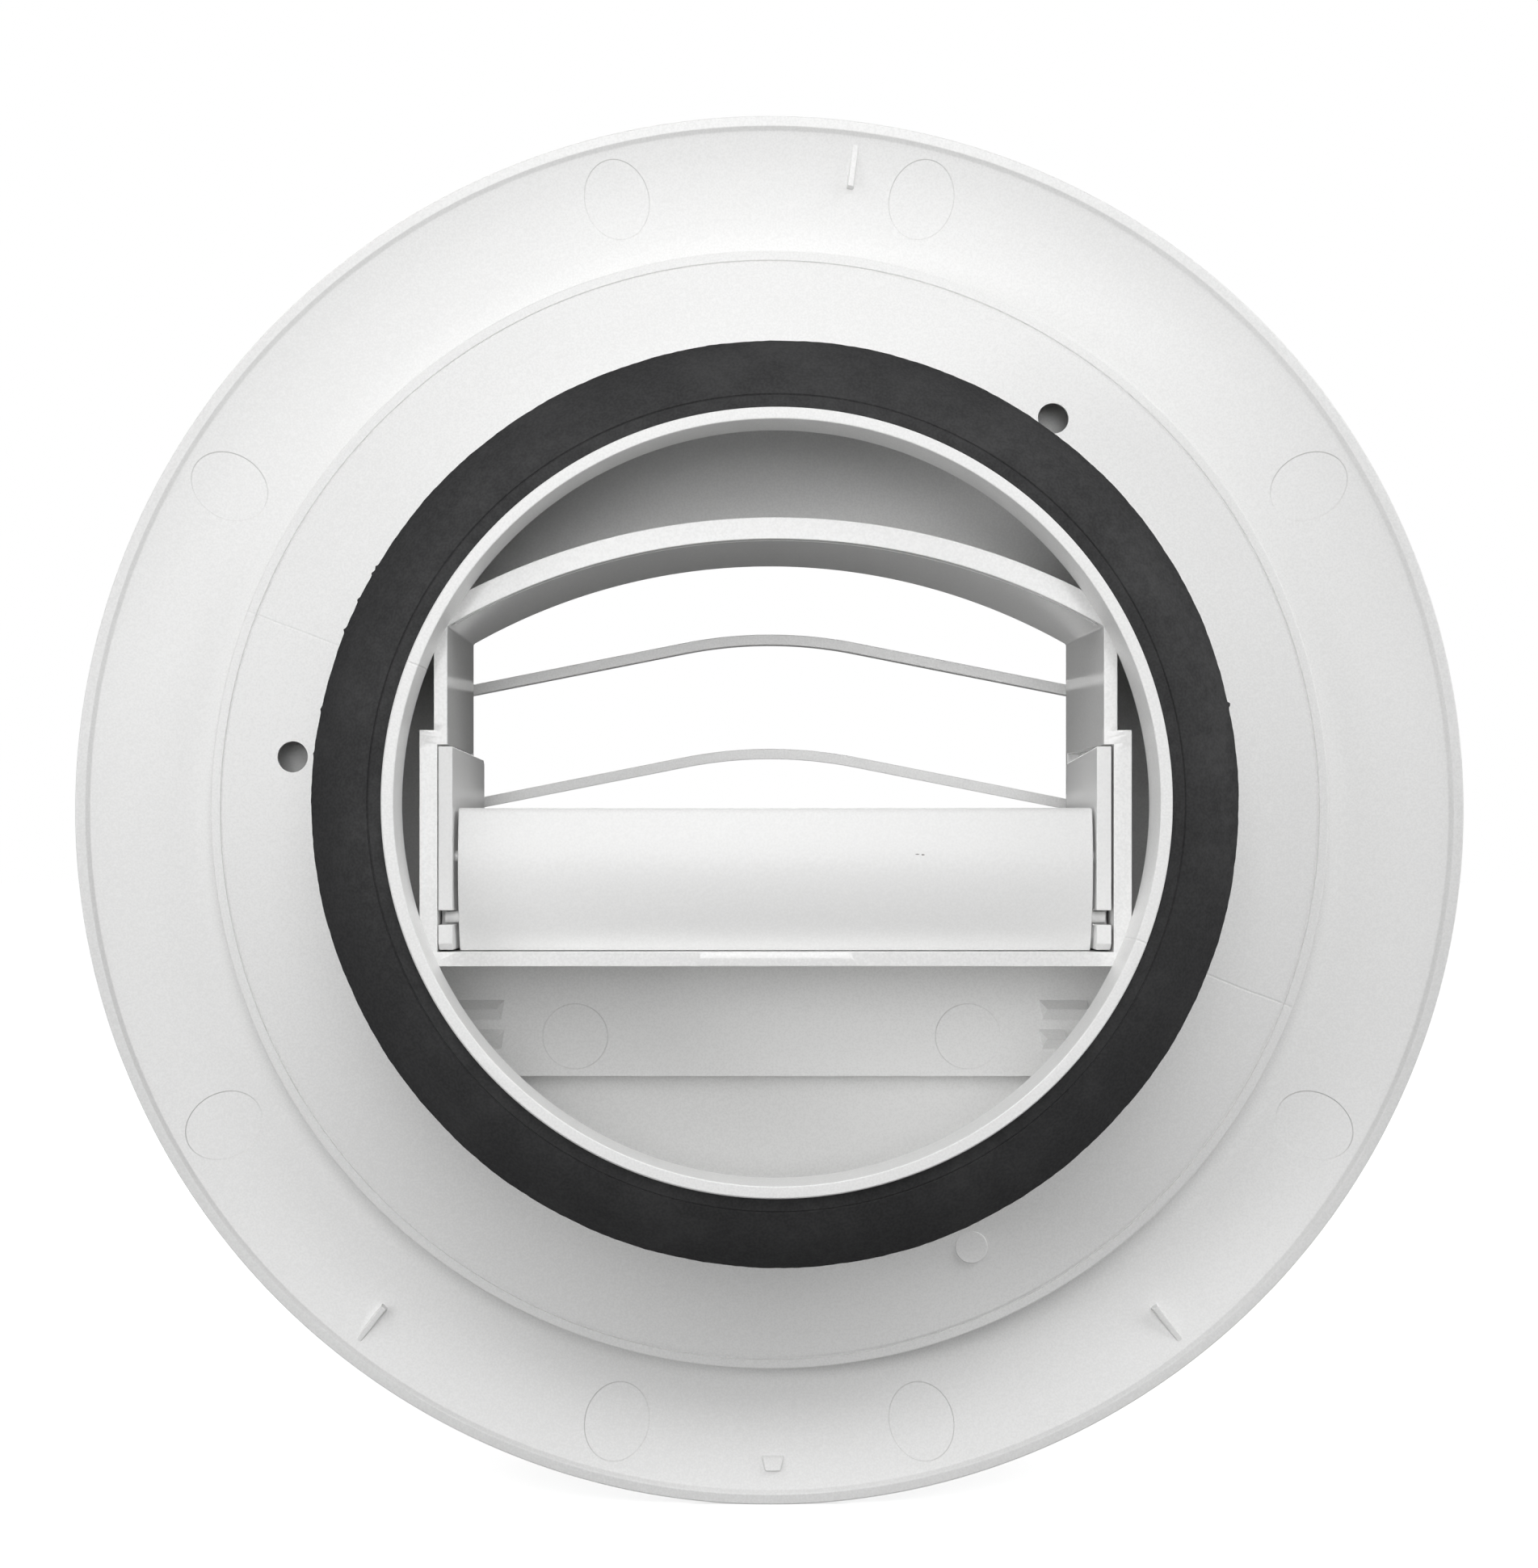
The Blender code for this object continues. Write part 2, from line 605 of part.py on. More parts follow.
def make_frame(parts, helpers, material):
    """The regulator's frame: two cheeks joined by a base, with open slots for the axle and stop nubs."""
    outer_x = TUNNEL_HALF_WIDTH + SOCKET_DEPTH - CHEEK_GAP
    low = TUNNEL_FLOOR + SEAT_GAP
    top = SOCKET_TOP - CHEEK_GAP
    far_y = WEB_ROOM_Y + SOCKET_STOP + SEAT_GAP
    base_low = (-CHEEK_NEAR_X - OVERRUN, far_y, low)
    base_high = (CHEEK_NEAR_X + OVERRUN, TUNNEL_Y - BASE_SETBACK, low + BASE_WALL)
    frame = box("regulator_frame", base_low, base_high, parts)
    frame.data.materials.append(material)
    chamfer_y = TUNNEL_Y - CHEEK_FOOT_CHAMFER
    for side, word in ((-1, "left"), (1, "right")):
        near = [
            (side * CHEEK_NEAR_X, low),
            (side * outer_x, low),
            (side * outer_x, top),
            (side * CHEEK_NEAR_X, top),
        ]
        far = [
            (side * CHEEK_FAR_X, low),
            (side * outer_x, low),
            (side * outer_x, top - CHEEK_TOP_DROP),
            (side * CHEEK_FAR_X, top - CHEEK_TOP_DROP),
        ]
        foot = [(x, z + (CHEEK_FOOT_CHAMFER if z == low else 0.0)) for x, z in near]
        sections = [(TUNNEL_Y, foot), (chamfer_y, near), (far_y, far)]
        join(frame, loft_along_y(f"cheek_{word}", sections, helpers))

        slot_half = AXLE_RADIUS + SLOT_CLEARANCE
        slot = [
            (TUNNEL_Y + OVERRUN, AXLE_Z + slot_half),
            (TUNNEL_Y + OVERRUN, AXLE_Z - slot_half),
            *arc((AXLE_Y, AXLE_Z), slot_half, 270, 90, AXLE_SIDES // 2),
        ]
        ends = sorted((side * (CHEEK_FAR_X - OVERRUN), side * (outer_x + OVERRUN)))
        cut(frame, extrude_along_x(f"axle_slot_{word}", slot, *ends, helpers))

        nub_y = blade_y(NUB_STOP_Z, FLAP_WALL) - SEAT_GAP - NUB_STOP_RADIUS
        nub_ends = sorted((side * (CHEEK_NEAR_X - NUB_STOP_REACH), side * (outer_x - OVERRUN / 2)))
        start, stop = [(x, nub_y, NUB_STOP_Z) for x in nub_ends]
        join(frame, rod(f"stop_{word}", NUB_STOP_RADIUS, start, stop, "X", AXLE_SIDES, helpers))
    return frame


def blade_y(z, depth):
    """Place along the axis of a blade surface at a height, this deep behind the blade's duct face."""
    radius = BLADE_ARC_RADIUS - depth
    centre_y = END_Y - BLADE_FRONT_DEPTH - BLADE_ARC_RADIUS
    return centre_y + math.sqrt(radius**2 - (z - BLADE_ARC_Z) ** 2)


def flap_surface(depth):
    """One side of the flap as (y, z) points, from the blade's foot over the bend to the wing's end."""
    centre = (END_Y - BLADE_FRONT_DEPTH - BLADE_ARC_RADIUS, BLADE_ARC_Z)
    bend_z = FLAP_TOP - FLAP_BEND_RADIUS
    reach = BLADE_ARC_RADIUS - FLAP_BEND_RADIUS
    bend = (centre[0] + math.sqrt(reach**2 - (bend_z - centre[1]) ** 2), bend_z)
    lean = math.degrees(math.asin((bend_z - centre[1]) / reach))
    foot = math.degrees(math.asin((BLADE_BOTTOM - centre[1]) / BLADE_ARC_RADIUS))
    blade = arc(centre, BLADE_ARC_RADIUS - depth, foot, lean, BLADE_STEPS)
    corner = arc(bend, FLAP_BEND_RADIUS - depth, lean, 90, BEND_STEPS)
    return [*blade, *corner[1:], (END_Y - WING_REACH, FLAP_TOP - depth)]


def make_flap(parts, helpers, material):
    """The regulator's flap: blade, wing and axle in one, with its origin on the axle."""
    outline = [*flap_surface(0.0), *reversed(flap_surface(FLAP_WALL))]
    flap = extrude_along_x(
        "regulator_flap", outline, -BLADE_HALF_WIDTH, BLADE_HALF_WIDTH, parts, material
    )
    for vertex in flap.data.vertices:
        vertex.co.y -= AXLE_Y
        vertex.co.z -= AXLE_Z
    flap.location = (0.0, AXLE_Y, AXLE_Z)
    for side, word in ((-1, "left"), (1, "right")):
        ends = sorted((side * WING_HALF_WIDTH, side * (BLADE_HALF_WIDTH + OVERRUN)))
        low = (ends[0], END_Y - WING_REACH - OVERRUN, FLAP_TOP - FLAP_BEND_RADIUS)
        high = (ends[1], END_Y - WING_START, FLAP_TOP + OVERRUN)
        cut(flap, box(f"wing_side_{word}", low, high, helpers))
    start, stop = [(x, AXLE_Y, AXLE_Z) for x in (-AXLE_HALF_LENGTH, AXLE_HALF_LENGTH)]
    join(flap, rod("axle", AXLE_RADIUS, start, stop, "X", AXLE_SIDES, helpers))
    return flap


def shade(obj):
    """Shades round faces smooth and keeps the edges sharp."""
    obj.data.shade_smooth()
    obj.data.set_sharp_from_angle(angle=math.radians(30))


def main():
    """Makes the five pieces."""
    clear_scene()
    parts = new_collection("constant_volume_grille")
    helpers = new_collection("cutters")
    white = plastic("white polystyrene", (0.85, 0.85, 0.84), 0.32)
    clear_white = plastic("regulator polystyrene", (0.87, 0.87, 0.86), 0.28)
    black = plastic("black rubber", (0.035, 0.035, 0.036), 0.6)
    pieces = [
        make_body(parts, helpers, white),
        turned("duct_seal", seal_profile(), parts, black),
        make_cover(parts, helpers, white),
        make_frame(parts, helpers, clear_white),
        make_flap(parts, helpers, clear_white),
    ]
    for obj in helpers.objects:
        as_helper(obj)
    for obj in pieces:
        shade(obj)


main()
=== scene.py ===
"""A constant volume grille, seen from its duct side and dressed for a studio picture.

Every shape is a surface in the grille's own frame, in metres: the axis lies along Y with the duct on its +Y
side, the wall's face is y = 0, and +Z is up. Most surfaces are polar: a reach from the axis and a place
along it, both given as whole arrays over the angle round the axis.
"""

import logging
import math
from collections.abc import Callable, Sequence
from dataclasses import dataclass
from enum import Enum

import bmesh
import bpy
import numpy as np
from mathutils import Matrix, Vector


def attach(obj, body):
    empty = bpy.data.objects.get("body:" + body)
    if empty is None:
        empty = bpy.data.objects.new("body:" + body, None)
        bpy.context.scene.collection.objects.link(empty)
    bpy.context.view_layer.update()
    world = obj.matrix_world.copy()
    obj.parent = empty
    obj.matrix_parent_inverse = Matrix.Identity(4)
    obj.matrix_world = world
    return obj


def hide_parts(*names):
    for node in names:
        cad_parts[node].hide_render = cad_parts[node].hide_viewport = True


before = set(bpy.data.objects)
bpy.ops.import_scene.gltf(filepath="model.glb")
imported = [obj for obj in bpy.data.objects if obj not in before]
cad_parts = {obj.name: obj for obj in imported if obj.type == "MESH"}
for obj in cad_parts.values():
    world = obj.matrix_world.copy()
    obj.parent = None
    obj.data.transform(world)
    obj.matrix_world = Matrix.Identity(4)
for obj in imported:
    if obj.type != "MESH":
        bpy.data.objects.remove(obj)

Socket = bpy.types.NodeSocket
Row = tuple[np.ndarray | float, np.ndarray | float]
LOG = logging.getLogger("grille")
MM = 0.001
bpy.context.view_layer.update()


class Body(Enum):
    """The moving bodies that pieces ride on."""

    GRILLE = "grille"
    COVER = "cover"
    FLAP = "flap"


class Slot(Enum):
    """The record's material slots."""

    WHITE = "white_plastic"
    REGULATOR = "regulator_plastic"
    RUBBER = "black_rubber"


# Plane geometry


def rounded(points: Sequence[tuple[float, float]], radii: Sequence[float], steps: int = 4) -> np.ndarray:
    """Rounds the corners of an open polyline.

    At a corner the two legs are cut back by radius / tan(half the angle between them), and an arc of that
    radius, tangent to both, joins the cuts.

    Args:
        points: The corners, as pairs.
        radii: One radius for each corner; 0 keeps it sharp.
        steps: Pieces in each arc.

    Returns:
        The rounded line as an (n, 2) array.
    """
    corners = np.asarray(points, float)
    line = [corners[:1]]
    for before, corner, after, radius in zip(corners, corners[1:], corners[2:], radii[1:-1]):
        back, ahead = before - corner, after - corner
        lengths = np.linalg.norm(back), np.linalg.norm(ahead)
        back, ahead = back / lengths[0], ahead / lengths[1]
        half = 0.5 * math.acos(float(np.clip(back @ ahead, -1.0, 1.0)))
        if radius <= 0 or half > 1.56:
            line.append(corner[None])
            continue
        cut = min(radius / math.tan(half), 0.46 * min(lengths))
        radius = cut * math.tan(half)
        centre = corner + (back + ahead) / np.linalg.norm(back + ahead) * radius / math.sin(half)
        turn = math.pi - 2 * half
        share = np.linspace(0.0, 1.0, steps + 1)[:, None]
        start, stop = corner + back * cut - centre, corner + ahead * cut - centre
        arc = np.sin((1 - share) * turn) * start + np.sin(share * turn) * stop
        line.append(centre + arc / math.sin(turn))
    line.append(corners[-1:])
    return np.vstack(line)


def soft_min(choices: Sequence[np.ndarray], blend: float) -> np.ndarray:
    """Smallest of several arrays, blended where two are close: -blend * log(sum(exp(-value / blend)))."""
    stack = np.stack(np.broadcast_arrays(*choices))
    low = stack.min(axis=0)
    return low - blend * np.log(np.exp((low - stack) / blend).sum(axis=0))


def line_below(level: float, sine: np.ndarray) -> np.ndarray:
    """Reach to a level line under the axis: level / sine, and 1 m where the angle doesn't point down."""
    return np.where(sine < -1e-6, level / np.minimum(sine, -1e-6), 1.0)


def polar_points(rows: Sequence[Row], angles: np.ndarray) -> np.ndarray:
    """Points of rows of (reach, along): x = reach * cos(angle), y = along, z = reach * sin(angle).

    A reach or a place that is one number holds all round.
    """
    full = [np.broadcast_arrays(*row, angles)[:2] for row in rows]
    reach, along = (np.stack(part) for part in zip(*full))
    return np.stack([reach * np.cos(angles), along, reach * np.sin(angles)], axis=-1)


def quarter(steps: int) -> list[tuple[float, float]]:
    """Pairs (1 - cos, 1 - sin) for even angles from 0 to 90 degrees: what a rounded edge falls short by."""
    turn = np.radians(np.linspace(0.0, 90.0, steps))
    return list(zip(1 - np.cos(turn), 1 - np.sin(turn)))


def fine_angles(corners: Sequence[float], count: int, spread: Sequence[float]) -> np.ndarray:
    """Angles round the axis in radians: evenly spaced ones, and closer ones about given corners.

    Args:
        corners: Corner directions in degrees, for the +X side; the -X side mirrors them.
        count: How many even angles.
        spread: Offsets in degrees that are put on both sides of each corner.

    Returns:
        The sorted angles from -90 to 270 degrees.
    """
    offsets = np.unique(np.concatenate([-np.asarray(spread), [0.0], np.asarray(spread)]))
    right = (np.asarray(corners)[:, None] + offsets[None]).ravel()
    every = np.concatenate([right, 180.0 - right, np.arange(count) * 360.0 / count - 90.0])
    every = np.unique(np.round(np.mod(every + 90.0, 360.0) - 90.0, 4))
    return np.radians(every)


class Skin:
    """Gathers grids of points into one mesh."""

    def __init__(self) -> None:
        """Starts with no points."""
        self.points: list[np.ndarray] = []
        self.faces: list[list[int]] = []
        self.count = 0

    def grid(self, rows: np.ndarray, loop_rows: bool = False, loop_columns: bool = False) -> np.ndarray:
        """Adds a grid of points and the four-cornered faces between neighbours.

        Args:
            rows: Points as a (rows, columns, 3) array.
            loop_rows: Whether the last row joins the first.
            loop_columns: Whether the last column joins the first.

        Returns:
            The points' numbers as a (rows, columns) array.
        """
        number = self.count + np.arange(rows.shape[0] * rows.shape[1]).reshape(rows.shape[:2])
        wrapped = np.vstack([number, number[:1]]) if loop_rows else number
        wrapped = np.hstack([wrapped, wrapped[:, :1]]) if loop_columns else wrapped
        corners = (wrapped[:-1, :-1], wrapped[1:, :-1], wrapped[1:, 1:], wrapped[:-1, 1:])
        self.faces += np.stack(corners, axis=-1).reshape(-1, 4).tolist()
        self.points.append(rows.reshape(-1, 3))
        self.count += number.size
        return number

    def turned(self, rows: Sequence[Row], angles: np.ndarray) -> None:
        """Adds a closed polar surface from rows of (reach, along)."""
        self.grid(polar_points(rows, angles), loop_rows=True, loop_columns=True)

    def bar(self, rings: np.ndarray) -> None:
        """Adds a row of closed rings, with one face across the first and one across the last."""
        number = self.grid(rings, loop_columns=True)
        self.faces += [number[0].tolist(), number[-1].tolist()]

    def take(self, shape: bmesh.types.BMesh) -> None:
        """Adds a bmesh's points and faces, and frees it."""
        shape.verts.index_update()
        self.faces += [[self.count + vert.index for vert in face.verts] for face in shape.faces]
        self.points.append(np.array([vert.co[:] for vert in shape.verts]))
        self.count += len(shape.verts)
        shape.free()

    def solid(self, name: str, sharp: float = 38.0) -> bpy.types.Object:
        """Makes the object, with doubles merged and faces outwards.

        Args:
            name: The object's name.
            sharp: Edges that turn by more degrees than this stay sharp.

        Returns:
            The new object, linked to the scene.
        """
        mesh = bpy.data.meshes.new(name)
        mesh.from_pydata(np.vstack(self.points).tolist(), [], self.faces)
        tidy_mesh(mesh, sharp)
        obj = bpy.data.objects.new(name, mesh)
        bpy.context.scene.collection.objects.link(obj)
        return obj


def tidy_mesh(mesh: bpy.types.Mesh, sharp: float) -> None:
    """Merges doubles, turns faces outwards and shades all but sharp edges smooth."""
    shape = bmesh.new()
    shape.from_mesh(mesh)
    bmesh.ops.remove_doubles(shape, verts=shape.verts, dist=0.002 * MM)
    bmesh.ops.recalc_face_normals(shape, faces=shape.faces)
    shape.to_mesh(mesh)
    shape.free()
    mesh.shade_smooth()
    mesh.set_sharp_from_angle(angle=math.radians(sharp))


def along_axis(mesh: bpy.types.Mesh, what: str) -> np.ndarray:
    """The Y part of every face's "normal" or "center"."""
    values = np.empty(3 * len(mesh.polygons))
    mesh.polygons.foreach_get(what, values)
    return values[1::3]


def add_block(skin: Skin, corners: np.ndarray, edge: float) -> None:
    """Adds a six-sided block with rounded edges.

    Args:
        skin: Takes the surface.
        corners: Eight points: the four of one side in order, then the four opposite them.
        edge: Radius of the rounding.
    """
    shape = bmesh.new()
    verts = [shape.verts.new(point) for point in corners]
    for side in ((0, 1, 2, 3), (7, 6, 5, 4), (0, 4, 5, 1), (1, 5, 6, 2), (2, 6, 7, 3), (3, 7, 4, 0)):
        shape.faces.new([verts[i] for i in side])
    bmesh.ops.bevel(shape, geom=shape.edges[:], offset=edge, segments=3, profile=0.5, affect="EDGES")
    skin.take(shape)


def ribbon(
    skin: Skin,
    path: np.ndarray,
    side: np.ndarray,
    width: np.ndarray,
    wall: float,
    edge: float,
    steps: int = 3,
    draft: float = 0.0,
) -> None:
    """Adds a flat bar with rounded edges, carried along a path.

    The section is a rounded rectangle, width across and wall thick. It stands square to the path at each
    point, and at both ends it shrinks along a quarter circle, so that the ends are rounded as well.

    Args:
        skin: Takes the surface.
        path: The bar's centre line as an (n, 3) array.
        side: Unit vector across the bar.
        width: Half width at each point of the path.
        wall: Thickness.
        edge: Radius of the edges.
        steps: Pieces in each rounded corner.
        draft: Share of the half thickness that the underside loses towards the far side.
    """
    tangent = np.gradient(path, axis=0)
    tangent /= np.linalg.norm(tangent, axis=1)[:, None]
    turn = np.radians(np.linspace(90.0, 0.0, steps + 1))[:-1]
    reach, shrink = edge * np.sin(turn), edge * (1 - np.cos(turn))
    first = path[0] + np.outer(edge - reach, tangent[0])
    last = path[-1] - np.outer(edge - reach[::-1], tangent[-1])
    inner = slice(1, -1)
    line = np.vstack([first, path[inner], last])
    ends = (np.repeat(tangent[place][None], steps, 0) for place in (0, -1))
    slope = np.vstack([next(ends), tangent[inner], next(ends)])
    inset = np.concatenate([shrink, np.zeros(len(path) - 2), shrink[::-1]])
    half = np.concatenate([np.full(steps, width[0]), width[inner], np.full(steps, width[-1])]) - inset
    thick = wall / 2 - inset
    normal = np.cross(slope, side)
    quarter = np.radians(np.linspace(0.0, 90.0, steps + 1))
    arcs = [quarter + math.radians(90 * i) for i in range(4)]
    signs = [(1, 1), (-1, 1), (-1, -1), (1, -1)]
    across = np.concatenate([edge * np.cos(a) for a in arcs])
    up = np.concatenate([edge * np.sin(a) for a in arcs])
    sign = np.repeat(np.array(signs, float), steps + 1, axis=0)
    u = sign[:, 0][None] * (half[:, None] - edge) + across[None]
    v = sign[:, 1][None] * (thick[:, None] - edge) + up[None]
    v *= np.where(v < 0, 1.0 - draft * (1.0 - u / half[:, None]) / 2, 1.0)
    rows = line[:, None] + u[..., None] * side + v[..., None] * normal[:, None]
    skin.bar(rows)


def rod_along_x(
    skin: Skin, radius: float, low: float, high: float, y: float, z: float, edge: float
) -> None:
    """Adds a round rod along X: circles whose radius follows a quarter circle at each rounded end."""
    shrink, inset = edge * np.array(quarter(5))[::-1].T
    radii = radius - shrink
    radii = np.concatenate([radii, radii[::-1]])[:, None]
    places = np.concatenate([low + inset, (high - inset)[::-1]])[:, None]
    angle = np.linspace(0.0, 2 * math.pi, 33)[:-1]
    rings = np.broadcast_arrays(places, y + radii * np.cos(angle), z + radii * np.sin(angle))
    skin.bar(np.stack(rings, axis=-1))


# Finishes


class Nodes:
    """A short hand for building a material's node tree."""

    def __init__(self, name: str) -> None:
        """Makes the material with its Principled shader."""
        self.material = bpy.data.materials.new(name)
        self.material.use_nodes = True
        self.tree = self.material.node_tree
        self.shader = self.tree.nodes["Principled BSDF"]
        self.place = self.add("ShaderNodeTexCoord").outputs["Object"]

    def add(self, kind: str, **settings: object) -> bpy.types.Node:
        """Adds a node and sets its properties."""
        node = self.tree.nodes.new(kind)
        for key, value in settings.items():
            setattr(node, key, value)
        return node

    def join(self, source: Socket, target: Socket) -> None:
        """Links two sockets."""
        self.tree.links.new(source, target)

    def math(self, operation: str, *values: "float | Socket") -> Socket:
        """Adds a Math node on numbers or sockets and returns its result."""
        node = self.add("ShaderNodeMath", operation=operation)
        for socket, value in zip(node.inputs, values):
            if isinstance(value, (int, float)):
                socket.default_value = value
            else:
                self.join(value, socket)
        return node.outputs[0]

    def noise(self, scale: float, detail: float = 3.0, rough: float = 0.5) -> Socket:
        """Adds a noise over the object, with features about 1 / scale metres wide."""
        node = self.add("ShaderNodeTexNoise")
        node.inputs["Scale"].default_value = scale
        node.inputs["Detail"].default_value = detail
        node.inputs["Roughness"].default_value = rough
        self.join(self.place, node.inputs["Vector"])
        return node.outputs["Fac"]

    def spread(self, value: Socket, low: float, high: float, to: tuple[float, float]) -> Socket:
        """Maps a value smoothly from one range to another."""
        node = self.add("ShaderNodeMapRange", interpolation_type="SMOOTHSTEP")
        self.join(value, node.inputs["Value"])
        for name, number in zip(("From Min", "From Max", "To Min", "To Max"), (low, high, *to)):
            node.inputs[name].default_value = number
        return node.outputs["Result"]

    def blend(self, share: Socket, first: Sequence[float], second: Sequence[float]) -> Socket:
        """Mixes two colours by a share."""
        node = self.add("ShaderNodeMix", data_type="RGBA")
        self.join(share, node.inputs["Factor"])
        node.inputs["A"].default_value = (*first, 1.0)
        node.inputs["B"].default_value = (*second, 1.0)
        return node.outputs["Result"]

    def bump(self, height: Socket, distance: float, strength: float, below: Socket | None = None) -> Socket:
        """Adds a Bump node over an optional earlier one."""
        node = self.add("ShaderNodeBump")
        node.inputs["Distance"].default_value = distance
        node.inputs["Strength"].default_value = strength
        self.join(height, node.inputs["Height"])
        if below is not None:
            self.join(below, node.inputs["Normal"])
        return node.outputs["Normal"]

    def vector(self, operation: str, source: Socket, fixed: Sequence[float] = ()) -> bpy.types.Node:
        """Adds a Vector Math node on a socket and, where the operation needs it, a fixed vector."""
        node = self.add("ShaderNodeVectorMath", operation=operation)
        self.join(source, node.inputs[0])
        if fixed:
            node.inputs[1].default_value = fixed
        return node

    def distance_to(self, x: float, z: float, ratio: float, turn: float = 0.0) -> Socket:
        """Distance from a line along Y, in a turned and stretched frame.

        It is length((1, 0, ratio) * rotated(place - (x, 0, z))).

        Args:
            x: The line's place across.
            z: The line's height.
            ratio: What the frame's height is multiplied by.
            turn: Degrees that the frame is turned about Y.

        Returns:
            The distance as a socket.
        """
        shift = self.vector("SUBTRACT", self.place, (x, 0.0, z))
        node = self.add("ShaderNodeMapping", vector_type="POINT")
        node.inputs["Rotation"].default_value = (0.0, math.radians(turn), 0.0)
        self.join(shift.outputs[0], node.inputs["Vector"])
        stretch = self.vector("MULTIPLY", node.outputs[0], (1.0, 0.0, ratio))
        return self.vector("LENGTH", stretch.outputs[0]).outputs["Value"]


@dataclass(frozen=True)
class MouldMark:
    """A shallow round or oval mark that a mould leaves, as an ellipse in the XZ plane."""

    x: float
    z: float
    turn: float
    half_width: float
    half_height: float


@dataclass(frozen=True)
class Polystyrene:
    """White moulded polystyrene: a fine grain, faint cloudiness, orange peel and a soft gloss."""

    name: str
    light: tuple[float, float, float] = (0.90, 0.90, 0.895)
    dark: tuple[float, float, float] = (0.84, 0.84, 0.835)
    gloss: tuple[float, float] = (0.297, 0.303)
    grain: float = 4200.0
    marks: tuple[MouldMark, ...] = ()
    weld: float | None = None
    specks: tuple[tuple[float, float, float, float], ...] = ()

    def mark_edge(self, book: Nodes, mark: MouldMark) -> Socket:
        """Distance from a mark's edge, below 0 inside it: the stretched distance less the half width."""
        far = book.distance_to(mark.x, mark.z, mark.half_width / mark.half_height, mark.turn)
        return book.math("SUBTRACT", far, mark.half_width)

    def make(self) -> bpy.types.Material:
        """Builds the material.

        Returns:
            The finished material.
        """
        book = Nodes(self.name)
        cloud, grain = book.noise(26.0, 1.0), book.noise(self.grain, 0.0)
        share = book.math("MULTIPLY_ADD", grain, 0.75, book.math("MULTIPLY", cloud, 0.25))
        colour = book.blend(book.spread(share, 0.28, 0.72, (0.0, 1.0)), self.dark, self.light)
        peel = book.noise(700.0, 1.0)
        gloss = book.spread(peel, 0.3, 0.7, self.gloss)
        normal = book.bump(peel, 0.002 * MM, 0.3)
        if self.marks:
            edge = self.mark_edge(book, self.marks[0])
            for mark in self.marks[1:]:
                edge = book.math("MINIMUM", edge, self.mark_edge(book, mark))
            normal = book.bump(book.spread(edge, -0.09 * MM, 0.09 * MM, (0.0, 1.0)), 0.08 * MM, 1.0, normal)
        if self.weld is not None:
            lean = math.radians(self.weld)
            apart = book.vector("DOT_PRODUCT", book.place, (-math.sin(lean), 0.0, math.cos(lean)))
            wander = book.math("MULTIPLY_ADD", book.noise(70.0, 3.0), 0.9 * MM, -0.45 * MM)
            offset = book.math("ABSOLUTE", book.math("ADD", apart.outputs["Value"], wander))
            line = book.spread(offset, 0.02 * MM, 0.2 * MM, (0.0, 1.0))
            normal = book.bump(line, 0.05 * MM, 0.8, normal)
        for x, z, half_width, half_height in self.specks:
            far = book.distance_to(x, z, half_width / half_height)
            ragged = book.math("MULTIPLY_ADD", book.noise(2600.0, 2.0), 1.6 * half_width, -0.8 * half_width)
            inside = book.spread(book.math("ADD", far, ragged), 0.5 * half_width, half_width, (1.0, 0.0))
            speck = book.add("ShaderNodeMix", data_type="RGBA")
            book.join(inside, speck.inputs["Factor"])
            book.join(colour, speck.inputs["A"])
            speck.inputs["B"].default_value = (0.22, 0.21, 0.2, 1.0)
            colour = speck.outputs["Result"]
        shader = book.shader
        book.join(colour, shader.inputs["Base Color"])
        book.join(gloss, shader.inputs["Roughness"])
        book.join(normal, shader.inputs["Normal"])
        shader.inputs["IOR"].default_value = 1.5
        return book.material


@dataclass(frozen=True)
class Rubber:
    """Black moulded elastomer: matt, with a fine skin, dusty patches and a few pale specks."""

    name: str
    colour: tuple[float, float, float] = (0.022, 0.022, 0.023)
    dusty: tuple[float, float, float] = (0.040, 0.040, 0.041)

    def make(self) -> bpy.types.Material:
        """Builds the material.

        Returns:
            The finished material.
        """
        book = Nodes(self.name)
        dust = book.spread(book.noise(110.0, 3.0, 0.6), 0.38, 0.75, (0.0, 0.7))
        grain = book.math("MULTIPLY", book.spread(book.noise(3600.0, 0.0), 0.25, 0.75, (0.0, 1.0)), 0.5)
        share = book.math("ADD", dust, grain)
        book.join(book.blend(share, self.colour, self.dusty), book.shader.inputs["Base Color"])
        skin = book.noise(900.0, 1.0)
        book.join(book.spread(skin, 0.3, 0.7, (0.58, 0.72)), book.shader.inputs["Roughness"])
        book.join(book.bump(skin, 0.01 * MM, 0.4), book.shader.inputs["Normal"])
        book.shader.inputs["Specular IOR Level"].default_value = 0.32
        return book.material


# Shared sizes


